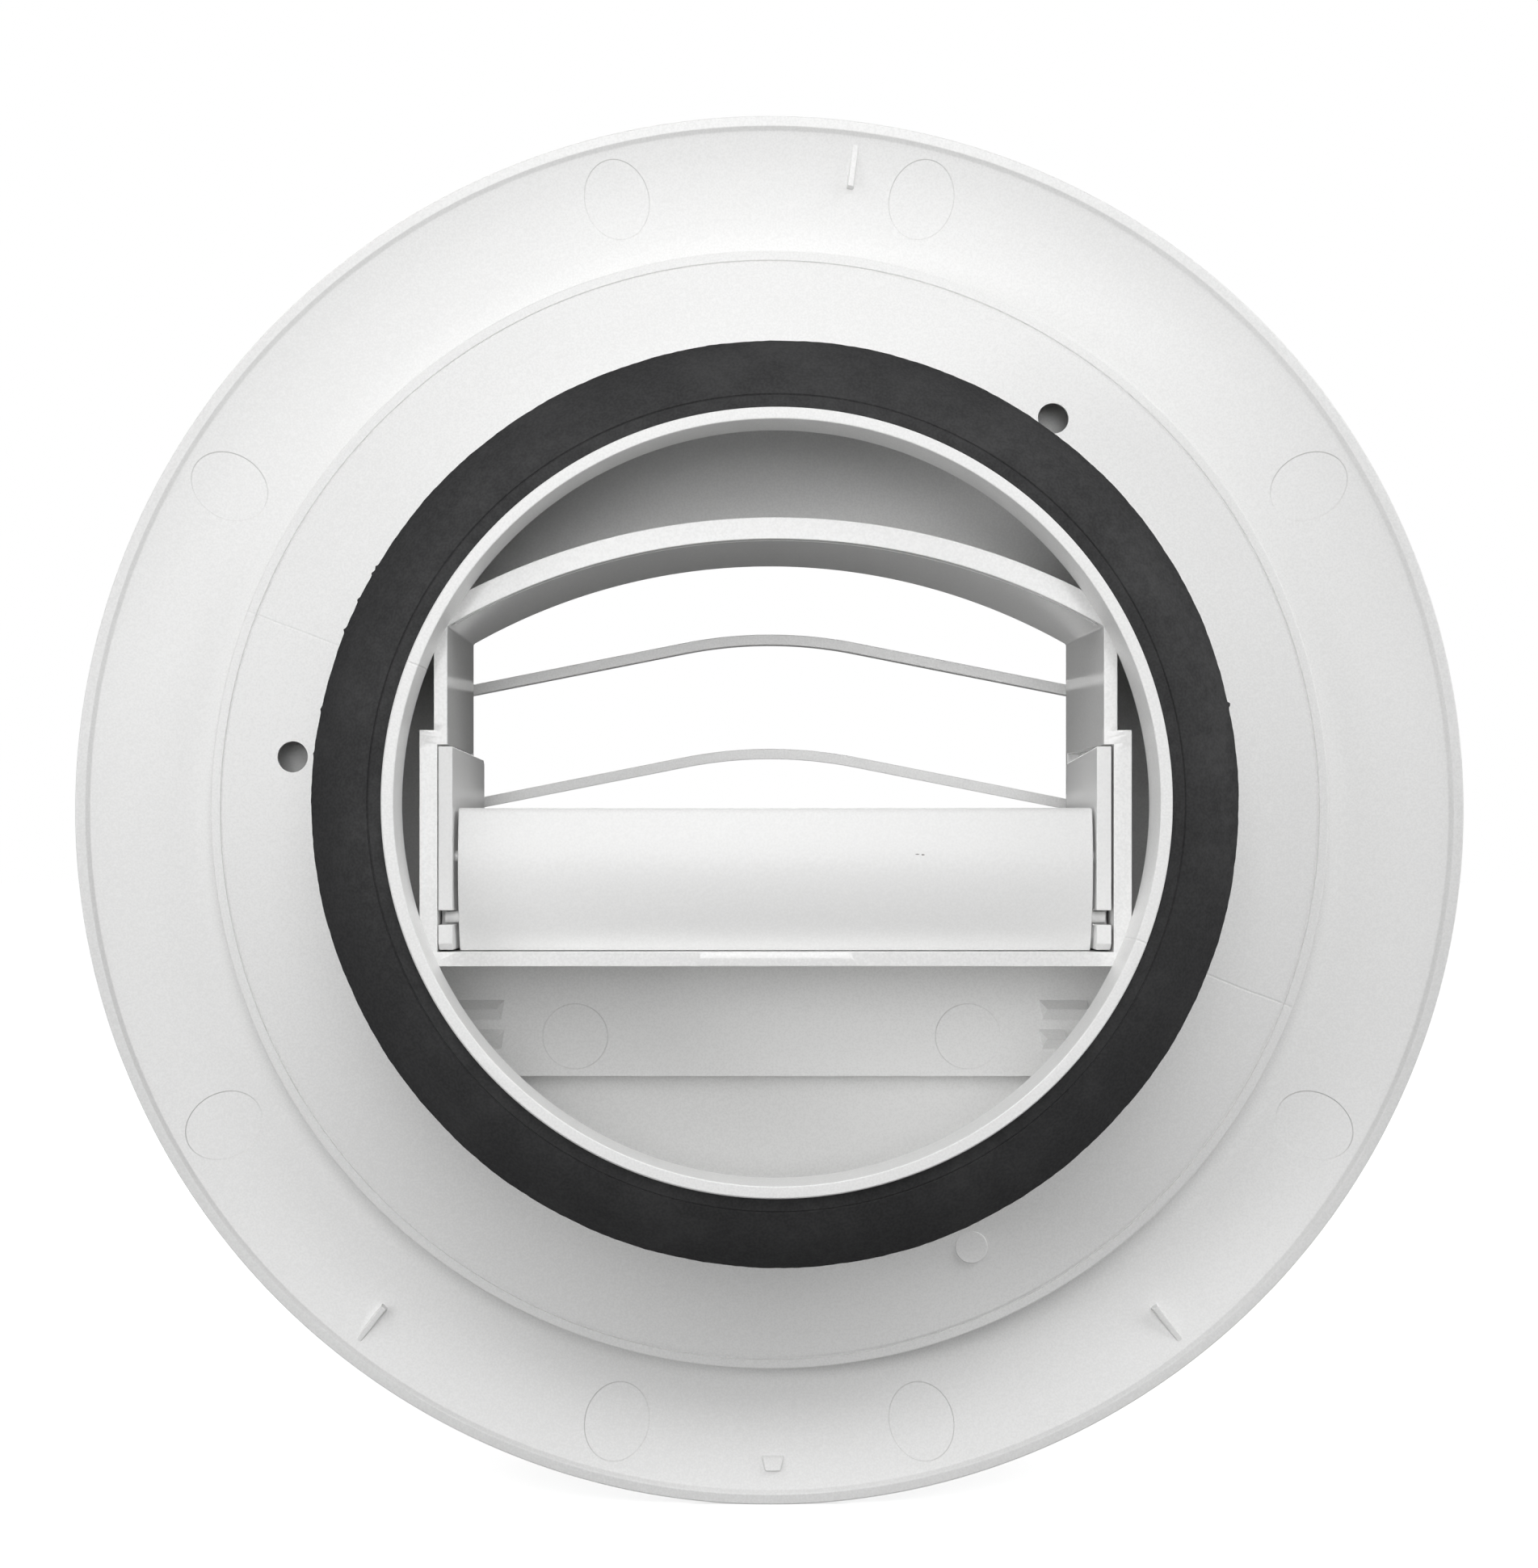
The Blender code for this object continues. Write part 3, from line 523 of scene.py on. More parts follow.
@dataclass(frozen=True)
class Tunnel:
    """The arched tunnel's outline, which body, throat and regulator share."""

    half_width: float = 36.4 * MM
    crown: float = 29.4 * MM
    spring: float = 19.7 * MM
    floor: float = -16.4 * MM
    duct_end: float = 32.5 * MM
    room_end: float = 7.5 * MM
    draft: float = 0.4 * MM
    skew: float = 0.19 * MM

    @property
    def roof_radius(self) -> float:
        """Radius of the roof's arc, from its half width and its rise."""
        rise = self.crown - self.spring
        return (self.half_width**2 + rise**2) / (2 * rise)

    def arch(
        self,
        angles: np.ndarray,
        margin: float,
        draft: float = 0.0,
        roof: float | None = None,
        blend: float = 0.06 * MM,
    ) -> np.ndarray:
        """Reach of the arch's outline, grown outwards by a margin.

        The nearest of three: the wall at half / |cos|, the floor at floor / -sin, and the roof's circle at
        c sin + sqrt(R^2 - c^2 cos^2), where c is the height of its centre and R its radius.

        Args:
            angles: Angles round the axis.
            margin: How far the outline is grown.
            draft: How much narrower the side walls stand.
            roof: A margin of its own for the roof.
            blend: How widely the corners are blended.

        Returns:
            The reach at each angle.
        """
        cosine, sine = np.cos(angles), np.sin(angles)
        wall = (self.half_width + margin - draft) / np.maximum(np.abs(cosine), 1e-6)
        floor = line_below(self.floor - margin, sine)
        radius = self.roof_radius + (margin if roof is None else roof)
        centre = self.crown - self.roof_radius
        vault = centre * sine + np.sqrt(np.maximum(radius**2 - (centre * cosine) ** 2, 0.0))
        return soft_min([np.minimum(wall, 1.0), np.minimum(floor, 1.0), vault], blend)

    def box(self, angles: np.ndarray, half: float, top: float, floor: float) -> np.ndarray:
        """Reach of an upright rectangle about the axis, the nearest of its walls, its top and its floor."""
        cosine, sine = np.abs(np.cos(angles)), np.sin(angles)
        wall = half / np.maximum(cosine, 1e-6)
        return np.minimum(np.minimum(wall, line_below(-top, -sine)), line_below(floor, sine))


@dataclass
class Cover:
    """The saucer front with its throat, two bars, three ribs and a nub."""

    tunnel: Tunnel
    radius: float = 88.2 * MM
    projection: float = 12.4 * MM
    wall: float = 1.9 * MM
    rise: float = 5.2 * MM
    edge: float = 1.6 * MM
    rim_y: float = -4.9 * MM
    rim_width: float = 1.3 * MM
    rim_draft: float = 0.3 * MM
    margin: float = 1.0 * MM
    throat_wall: float = 1.3 * MM
    flare: float = 1.9 * MM
    throat_back: float = 7.2 * MM
    flare_start: float = 3.7 * MM
    curve_start: float = 70.0 * MM
    slopes: tuple[float, float] = (0.04, 0.285)
    bar_back: float = -0.5 * MM
    bar_depth: float = 4.0 * MM
    bar_height: float = 1.3 * MM
    bar_peaks: tuple[float, float] = (21.9 * MM, 7.6 * MM)
    mark_circle: float = 80.4 * MM

    @property
    def dish_end(self) -> float:
        """Reach at which the dish meets the rim."""
        return self.radius - self.rim_width - self.rim_draft

    def dome(self, reach: np.ndarray) -> np.ndarray:
        """Front face along the axis: a sphere's cap, -projection + S - sqrt(S^2 - reach^2)."""
        flat = self.radius - self.edge
        sphere = (flat**2 + self.rise**2) / (2 * self.rise)
        return -self.projection + sphere - np.sqrt(sphere**2 - np.square(reach))

    def dish(self, reach: np.ndarray | float) -> np.ndarray:
        """Duct side of the dish along the axis.

        Inside curve_start it keeps the dome's curve. From there its slope grows evenly with the reach, from
        slopes[0] to slopes[1], so the place is level + slopes[0] * t + (slopes[1] - slopes[0]) * t^2 / (2 *
        span), where t is the reach past curve_start. At the rim the wall has its full thickness.
        """
        span = self.dish_end - self.curve_start
        first, last = self.slopes
        level = float(self.dome(self.dish_end)) + self.wall - (first + last) / 2 * span
        past = np.maximum(np.asarray(reach) - self.curve_start, 0.0)
        curve = level + first * past + (last - first) * past**2 / (2 * span)
        inside = np.minimum(reach, self.curve_start)
        return curve + self.dome(inside) - float(self.dome(self.curve_start))

    def throat_margin(self, y: np.ndarray | float) -> np.ndarray:
        """How far the throat stands outside the tunnel: even at first, then growing evenly to the front."""
        rate = self.flare / (self.flare_start + self.projection - self.wall)
        return self.margin + rate * np.maximum(self.flare_start - np.asarray(y), 0.0)

    def shell(self, skin: Skin) -> None:
        """Adds the saucer and throat as one closed polar surface, from the throat's inside to the rim."""
        angles = fine_angles((28.45, -24.9, -25.7, -26.4), 540, (0.08, 0.18, 0.32, 0.5, 0.75))

        def arch(y: float, more: float) -> np.ndarray:
            """Reach of the throat at a place along the axis, grown by a wall."""
            return self.tunnel.arch(angles, float(self.throat_margin(y)) + more, blend=0.22 * MM)

        rows: list[Row] = []
        back, front = self.throat_back, -self.projection
        lip = 0.8 * MM
        for y in (back - 0.2 * MM, *np.linspace(back - 1.0 * MM, front + 1.6 * MM, 8)):
            rows.append((arch(y, 0.0), y))
        wall = arch(front + lip, 0.0)
        face = self.dome(wall + lip)
        rows += [(wall + lip * out, face + lip * up) for out, up in quarter(6)]
        for share in (0.04, 0.1, 0.2, 0.32, 0.44, 0.56, 0.68, 0.8, 0.9, 0.97):
            reach = (wall + lip) * (1 - share) + (self.radius - self.edge) * share
            rows.append((reach, self.dome(reach)))

        edge_y = float(self.dome(self.radius - self.edge))
        inwards = self.dish_end - 3.2 * MM
        rim = [
            (self.radius - self.edge, edge_y),
            (self.radius, edge_y + 0.1 * MM),
            (self.radius, self.rim_y),
            (self.radius - self.rim_width, self.rim_y),
        ]
        feet = self.dish_end - 0.15 * MM, self.dish_end - 1.0 * MM, inwards
        rim += [(reach, float(self.dish(reach))) for reach in feet]
        rows += list(rounded(rim, [r * MM for r in (0.0, 1.5, 0.2, 0.25, 0.5, 0.0, 0.0)], 6)[:-1])

        start = self.curve_start - 2.0 * MM
        rows += [(reach, self.dish(reach)) for reach in np.linspace(inwards, start, 16)]
        root = arch(float(self.dish(50 * MM)), self.throat_wall)
        fillet = 0.6 * MM
        for share in (0.12, 0.26, 0.4, 0.55, 0.7, 0.82, 0.92, 0.98):
            reach = start * (1 - share) + (root + fillet) * share
            rows.append((reach, self.dish(reach)))
        foot = self.dish(root + fillet)
        rows += [(root + fillet * out, foot + fillet * up) for up, out in quarter(4)]
        for y in (-3.0 * MM, 0.0, self.flare_start, back - 0.2 * MM):
            rows.append((arch(y, self.throat_wall), y))
        rows += [(arch(back, self.throat_wall - 0.2 * MM), back), (arch(back, 0.2 * MM), back)]
        skin.turned(rows, angles)

    def bars(self, skin: Skin) -> None:
        """Adds the two bars: a shallow arc in the middle that runs on as a straight slope to each side."""
        half_arc, radius, slope = 10.6 * MM, 55 * MM, math.tan(math.radians(11.2))
        end = self.tunnel.half_width + float(self.throat_margin(self.bar_back - self.bar_depth)) + 0.4 * MM
        x = np.linspace(-end, end, 121)
        reach = np.minimum(np.abs(x), half_arc)
        drop = radius - np.sqrt(radius**2 - reach**2) + slope * (np.abs(x) - reach)
        y = np.full_like(x, self.bar_back - self.bar_depth / 2)
        width = np.full_like(x, self.bar_depth / 2)
        for peak in self.bar_peaks:
            path = np.stack([x, y, peak - drop - self.bar_height / 2], axis=-1)
            ribbon(skin, path, np.array([0.0, 1.0, 0.0]), width, self.bar_height, 0.1 * MM, draft=0.3)

    def ribs(self, skin: Skin) -> None:
        """Adds three wedge ribs, high at their inner end, and a flat nub at the foot of the dish."""
        for angle in (97.4, 232.2, 307.8):
            self.radial_block(skin, (6.5, 1.1), (1.4, -0.02), (0.5, 0.5, 0.36, 0.4), angle, 0.14)
        self.radial_block(skin, (4.3, 2.5), (0.3, 0.75), (1.5, 1.05, 1.05, 1.5), 269.7, 0.3)

    def ring(self, skin: Skin) -> None:
        """Adds the low ring on the dish under the plate's edge, which closes the space behind the plate.

        The section is a rectangle with rounded upper corners, turned round the axis.
        """
        inner, outer, top, edge = 67.6 * MM, 68.6 * MM, -3.62 * MM, 0.2 * MM
        foot = float(self.dish(inner)) - 0.4 * MM
        corners = [(inner, foot), (inner, top), (outer, top), (outer, foot)]
        section = rounded(corners, [0.0, edge, edge, 0.0], 3)
        skin.turned(list(section), np.linspace(-math.pi / 2, 1.5 * math.pi, 241)[:-1])

    def radial_block(
        self,
        skin: Skin,
        ends: tuple[float, float],
        heights: tuple[float, float],
        halves: Sequence[float],
        angle: float,
        edge: float,
    ) -> None:
        """Adds a block that starts 0.6 mm inside the dish and points away from the axis.

        Args:
            skin: Takes the surface.
            ends: How far its inner and outer end stand from the dish's end, in mm.
            heights: How far it stands out of the dish at both ends, in mm.
            halves: Half width in mm at each corner of the side profile, from the foot's inner end round.
            angle: Direction from the axis in degrees.
            edge: Radius of the edges in mm.
        """
        inner, outer = (self.dish_end - end * MM for end in ends)
        low, high = float(self.dish(inner)), float(self.dish(outer))
        top = [(outer, high + heights[1] * MM), (inner, low + heights[0] * MM)]
        flat = [(inner, low - 0.6 * MM), (outer, high - 0.6 * MM), *top]
        wide = np.asarray(halves) * MM
        points = np.concatenate([np.column_stack([flat, -wide]), np.column_stack([flat, wide])])
        lean = math.radians(angle)
        x = points[:, 0] * math.cos(lean) - points[:, 2] * math.sin(lean)
        z = points[:, 0] * math.sin(lean) + points[:, 2] * math.cos(lean)
        add_block(skin, np.column_stack([x, points[:, 1], z]), edge * MM)

    def build(self) -> bpy.types.Object:
        """Makes the cover as one piece.

        Returns:
            The dressed cover.
        """
        skin = Skin()
        self.shell(skin)
        self.bars(skin)
        self.ribs(skin)
        self.ring(skin)
        cover = skin.solid("cover_moulding")
        marks = []
        for lean in (76.0, 104.0, 31.0, 149.0, -30.0, 210.0, -76.0, 256.0):
            x, z = (self.mark_circle * part(math.radians(lean)) for part in (math.cos, math.sin))
            marks.append(MouldMark(x, z, lean, 4.9 * MM, 4.1 * MM))
        room_side = along_axis(cover.data, "normal") < -0.5
        cover.data.polygons.foreach_set("material_index", room_side.astype(int))
        looks = Polystyrene("cover polystyrene", marks=tuple(marks)), Polystyrene("cover face polystyrene")
        return finish(cover, looks, Body.COVER, Slot.WHITE, "front_cover")


@dataclass
class SpigotBody:
    """The spigot, its web, tunnel, plate and centring rim."""

    tunnel: Tunnel
    cavity: float = 46.0 * MM
    web_duct: float = 9.1 * MM
    pocket_edge: float = -32.4 * MM
    pocket_floor: float = 4.7 * MM
    block_edge: float = -30.8 * MM
    block_face: float = 3.1 * MM
    socket_half: float = 37.5 * MM
    socket_top: float = 6.6 * MM
    socket_stop: float = 8.5 * MM
    hole_circle: float = 60.2 * MM
    plate_start: float = 57.0 * MM
    plate_slope: float = math.tan(math.radians(8.5))
    holes: tuple[tuple[float, float], ...] = ((59.72 * MM, 6.6 * MM), (-35.43 * MM, 48.95 * MM))

    def outline(self) -> list[Row]:
        """The turned section from the cavity's wall over the lip's end to the plate and back under it.

        Returns:
            Its rows of (reach, along).
        """

        def plate(reach: float, below: float) -> tuple[float, float]:
            """A corner in mm on the sloping plate, or some way below its face."""
            return reach, (self.plate_start / MM - reach) * self.plate_slope - below

        line = [
            (46.0, 12.0),
            (42.9, 31.0),
            (41.4, 32.5),
            (41.4, 39.5),
            (42.7, 39.5),
            (42.7, 38.4),
            (42.95, 38.15),
            (42.95, 37.75),
            (42.7, 37.5),
            (42.7, 32.8),
            (44.4, 32.8),
            (47.4, 9.1),
            (47.4, 1.4),
            (50.4, 0.0),
            (57.0, 0.0),
            plate(68.76, 0.0),
            plate(68.86, 0.5),
            plate(69.1, 0.5),
            plate(69.16, 0.2),
            plate(70.4, 0.2),
            (70.4, -3.5),
            (57.0, -1.8),
            (46.0, -1.8),
            (46.0, 2.6),
        ]
        lip_radii = (0.0, 0.8, 0.12, 0.14, 0.14, 0.05, 0.1, 0.1, 0.05, 0.2, 0.25)
        plate_radii = (2.0, 1.2, 1.5, 3.0, 0.03, 0.02, 0.02, 0.04, 0.3, 0.3, 1.0, 0.4, 0.0)
        return list(rounded(np.array(line) * MM, [r * MM for r in lip_radii + plate_radii], 5))

    def shell(self, skin: Skin) -> None:
        """Adds the turned shell with its web as one closed polar surface.

        The web's two faces run from the cavity's wall to the arch. Below a level chord each face drops to
        the pocket's floor: there the reach is cut short at chord / sin, and a step joins both levels.
        """
        chords = self.pocket_edge, self.block_edge
        lean = [math.degrees(math.asin(chord / self.cavity)) for chord in chords]
        angles = fine_angles((28.42, -24.6, *lean), 480, (0.004, 0.1, 0.25, 0.5))
        hole = self.tunnel.arch(angles, 0.8 * MM)

        def face(edge: float, level: float, floor: float) -> list[Row]:
            """Rows of one face of the web, from the cavity's wall in to the arch."""
            chord = line_below(edge, np.sin(angles))
            limit = np.minimum(chord, self.cavity)
            low = np.where(chord < self.cavity, floor, level)
            across = [(limit + share * (hole - limit), level) for share in (0.0, 0.25, 0.5, 0.75, 1.0)]
            return [(self.cavity, low), (limit, low), *across]

        duct = face(self.pocket_edge, self.web_duct, self.pocket_floor)
        room = face(self.block_edge, self.tunnel.room_end, self.block_face)
        skin.turned(duct[::-1] + self.outline() + room, angles)

    def tube(self, skin: Skin) -> None:
        """Adds the tunnel's wall as a closed polar tube.

        Its outline is the union of the arch and a socket box, the farther of their two reaches, so that a
        ledge forms where the box ends. The inside leans in with depth and runs on past the socket's stop.
        """
        corners = (28.42, 29.68, 12.21, 11.73, 10.42, 10.3, 9.98, -23.62, -24.0, -24.5)
        angles = fine_angles(corners, 400, (0.05, 0.12, 0.25, 0.45))
        end, stop, back = self.tunnel.duct_end, self.socket_stop, self.tunnel.room_end - 0.1 * MM
        outer = np.maximum(
            self.tunnel.arch(angles, 1.5 * MM, roof=2.4 * MM),
            self.tunnel.box(angles, 39.5 * MM, 8.2 * MM, self.tunnel.floor - 1.6 * MM),
        )

        def inner(y: float, stepped: bool) -> np.ndarray:
            """Reach of the inside at a place along the axis."""
            draft = self.tunnel.draft * (end - y) / (end - self.tunnel.room_end)
            arch = self.tunnel.arch(angles, 0.0, draft)
            if not stepped:
                return arch
            box = self.tunnel.box(angles, self.socket_half, self.socket_top, self.tunnel.floor)
            return np.maximum(arch, box)

        edge = 0.09 * MM
        rows = [(outer, back), (outer, end - 6 * MM), (outer, end - 2 * edge)]
        rows += [(outer - edge * across, end - edge * down) for across, down in quarter(5)]
        mouth = inner(end, True)
        rows += [(mouth + edge * across, end - edge * down) for across, down in quarter(5)[::-1]]
        roof = np.clip((np.degrees(np.arcsin(np.sin(angles))) - 29.0) / 1.5, 0.0, 1.0)
        for y, depth in ((-1.3, 0.0), (-1.36, 0.14), (-1.8, 0.14), (-1.86, 0.0)):
            rows.append((inner(end + y * MM, True) + depth * MM * roof, end + y * MM))
        rows += [(inner(y, True), y) for y in np.linspace(end - 3.2 * MM, stop, 7)]
        rows += [(inner(y, False), y) for y in (stop, back + 0.25 * MM)]
        rows.append((inner(back, False) + 0.2 * MM, back))
        points = polar_points(rows, angles)
        inside = slice(13, None)
        share = (end - points[inside, :, 1]) / (end - self.tunnel.room_end)
        points[inside, :, 0] += self.tunnel.skew * share
        skin.grid(points, loop_rows=True, loop_columns=True)

    def rim(self, skin: Skin) -> None:
        """Adds the low rim on the room side that centres the cover's throat, as a closed polar ring."""
        angles = fine_angles((28.45, -25.8, -26.4), 240, (0.1, 0.3, 0.6))
        inner, outer = (self.tunnel.arch(angles, margin * MM, blend=0.2 * MM) for margin in (2.6, 3.6))
        low, high, edge = 4.0 * MM, 8.0 * MM, 0.15 * MM
        rows = [(inner, high), (inner, low + edge), (inner + edge, low)]
        skin.turned([*rows, (outer - edge, low), (outer, low + edge), (outer, high)], angles)

    def cutters(self) -> bpy.types.Object:
        """Makes the tools that cut the two screw holes.

        Returns:
            One object with a closed solid for each cut.
        """
        skin = Skin()
        level = (self.plate_start - self.hole_circle) * self.plate_slope
        for centre in self.holes:
            self.drill(skin, centre, level)
        return skin.solid("body_cutters")

    def stud(self, skin: Skin) -> None:
        """Adds the closed screw place: a flat round face, square to the axis, that stands out of the slope.

        Its rows are circles whose radius follows a quarter circle at the face's edge.
        """
        lean = math.radians(245.3)
        radius, edge, level = 2.03 * MM, 0.12 * MM, -0.2 * MM
        shrink, down = edge * np.array(quarter(5)).T
        radii = np.concatenate([[radius], radius - shrink])
        places = np.concatenate([[-1.6 * MM], level - down])
        angle = np.linspace(0.0, 2 * math.pi, 65)[:-1]
        x = self.hole_circle * math.cos(lean) + radii[:, None] * np.cos(angle)
        z = self.hole_circle * math.sin(lean) + radii[:, None] * np.sin(angle)
        skin.bar(np.stack(np.broadcast_arrays(x, places[:, None], z), axis=-1))

    def drill(self, skin: Skin, centre: tuple[float, float], level: float) -> None:
        """Adds a stepped drill along Y: narrow circles to just under the face, and wide ones below."""
        angle = np.linspace(0.0, 2 * math.pi, 65)[:-1]
        rows = []
        for radius, depth in ((3.4, -4.0), (3.4, -0.7), (1.95, -0.7), (1.95, 1.5)):
            x, z = centre[0] + radius * MM * np.cos(angle), centre[1] + radius * MM * np.sin(angle)
            rows.append(np.column_stack([x, np.full_like(x, level + depth * MM), z]))
        skin.bar(np.stack(rows))

    def ridges(self, skin: Skin) -> None:
        """Adds the two pairs of short ridges beside the panel.

        Each is a three-sided bar: steep above, a longer slope below, and leaning at its inner end.
        """
        face, root, rise = self.web_duct, self.web_duct - 0.5 * MM, 1.4 * MM
        for side in (-1.0, 1.0):
            for top in (-23.2 * MM, -26.75 * MM):
                foot = top - 2.4 * MM
                bulge = face + rise, top - 1.05 * MM
                section = [(root, top), (face, top), bulge, (face, foot), (root, foot)]
                inner_x = np.array([32.3, 32.3, 33.2, 32.7, 32.7]) * MM
                outer_x = math.sqrt((45.9 * MM) ** 2 - foot**2)
                near = np.column_stack([side * inner_x, section])
                far = np.column_stack([np.full(5, side * outer_x), section])
                skin.bar(np.stack([near, far]))

    def build(self) -> bpy.types.Object:
        """Makes the body as one piece.

        Returns:
            The dressed body.
        """
        skin = Skin()
        self.shell(skin)
        body = skin.solid("body_moulding", sharp=30.0)
        carve(body, self.cutters())
        tidy_mesh(body.data, 20.0)
        on_web = np.abs(along_axis(body.data, "center") - self.web_duct) < 0.05 * MM
        body.data.polygons.foreach_set("material_index", 2 * on_web.astype(int))
        rest = Skin()
        self.rim(rest)
        self.stud(rest)
        self.ridges(rest)
        merge_into(body, rest.solid("body_rest", sharp=30.0))
        tunnel = Skin()
        self.tube(tunnel)
        merge_into(body, tunnel.solid("body_tunnel", sharp=30.0), 1)
        gloss, radius = (0.357, 0.363), 3.93 * MM
        marks = tuple(MouldMark(x * MM, -27.6 * MM, 0.0, radius, radius) for x in (-23.75, 23.75))
        looks = (
            Polystyrene("body polystyrene", gloss=gloss, weld=20.8),
            Polystyrene("tunnel polystyrene", gloss=(0.12, 0.13)),
            Polystyrene("panel polystyrene", gloss=gloss, marks=marks),
        )
        return finish(body, looks, Body.GRILLE, Slot.WHITE, "spigot_body")


def carve(obj: bpy.types.Object, tool: bpy.types.Object) -> None:
    """Takes a tool's solids away from an object for good, and removes the tool."""
    modifier = obj.modifiers.new("carve", "BOOLEAN")
    modifier.object = tool
    modifier.operation = "DIFFERENCE"
    modifier.solver = "EXACT"
    bpy.context.view_layer.update()
    carved = bpy.data.meshes.new_from_object(obj.evaluated_get(bpy.context.evaluated_depsgraph_get()))
    obj.modifiers.remove(modifier)
    obj.data = carved
    bpy.data.objects.remove(tool)


def merge_into(obj: bpy.types.Object, other: bpy.types.Object, finish_number: int = 0) -> None:
    """Moves another object's faces into an object's mesh, with the number of their finish."""
    numbers = np.full(len(other.data.polygons), finish_number)
    other.data.polygons.foreach_set("material_index", numbers)
    shape = bmesh.new()
    shape.from_mesh(obj.data)
    shape.from_mesh(other.data)
    shape.to_mesh(obj.data)
    shape.free()
    bpy.data.objects.remove(other)


@dataclass
class LipSeal:
    """The rubber collar with its swept lip."""

    inner: float = 43.0 * MM
    collar: float = 44.6 * MM
    front: float = 36.4 * MM
    back: float = 33.1 * MM
    tip: float = 51.5 * MM
    sweep: float = 4.2 * MM

    def build(self) -> bpy.types.Object:
        """Makes the seal: its section turned round the axis, with a slow waver that grows towards the tip.

        The waver is a sum of a few sines of whole periods. Short bell curves on the tip stand for moulding
        flash, and one on the collar for a nick.

        Returns:
            The dressed seal.
        """
        share = np.linspace(0.0, 1.0, 13)
        bow = 4 * share * (1 - share) * 0.6 * MM
        top_r = self.collar + share * (self.tip - self.collar)
        top_y = self.front - share * self.sweep + bow
        wall = (0.9 - 0.5 * share) * MM
        duct = list(zip(top_r[1:], top_y[1:]))
        room = list(zip(top_r - wall / 2, top_y - wall))[::-1]
        crease = (self.collar + 0.2 * MM, self.front - 0.05 * MM)
        cut = [(self.collar - 0.06 * MM, self.front), (self.collar + 0.06 * MM, self.front - 0.15 * MM)]
        line = [(self.inner, self.front - 1.5 * MM), (self.inner, self.front), *cut, crease, *duct, *room]
        line += [(self.collar - 0.4 * MM, self.back), (self.inner, self.back)]
        line += [(self.inner, self.front - 1.5 * MM)]
        corner = 0.12 * MM
        tip = [0.0] * (len(duct) - 1) + [corner, corner] + [0.0] * (len(room) - 1)
        radii = [0.0, 0.25 * MM, 0.05 * MM, 0.03 * MM, 0.05 * MM, *tip, 0.2 * MM, 0.2 * MM, 0.0]
        section = rounded(line, radii, 4)[:-1]
        angles = np.linspace(0.0, 2 * math.pi, 1441)[:-1]
        waves = ((0.05, 3, 0.7), (0.035, 7, 2.1), (0.02, 19, 0.0), (0.012, 53, 1.0), (0.008, 97, 0.4))
        waver = sum(size * np.sin(count * angles + start) for size, count, start in waves)
        grown = np.clip((section[:, 0] - self.collar) / (self.tip - self.collar), 0.0, 1.0)[:, None]
        waver += 0.014 * np.sin(211 * angles + 2.6 * np.sin(5 * angles)) * np.sin(31 * angles + 0.9)
        burrs = ((167.6, 0.32), (30.7, 0.22), (29.8, 0.17), (26.1, 0.2), (22.0, 0.22))
        burrs += ((11.8, 0.12), (6.2, 0.08))

        def bell(place: float, width: float) -> np.ndarray:
            """A bell curve over the angle, in degrees."""
            return np.exp(-(((np.degrees(angles) - place) / width) ** 2))

        flash = sum(size * bell(place, 0.22) for place, size in burrs) * (grown > 0.93)
        notch = 0.16 * bell(146.2, 0.3) * (section[:, 0] < self.inner + 0.3 * MM)[:, None]
        reach = section[:, 0][:, None] + (waver * grown**2 + flash + notch) * MM
        along = section[:, 1][:, None] + 0.6 * waver * grown * MM
        skin = Skin()
        skin.turned(list(zip(reach, along)), angles)
        seal = skin.solid("seal_ring")
        return finish(seal, [Rubber("seal rubber")], Body.GRILLE, Slot.RUBBER, "duct_seal")


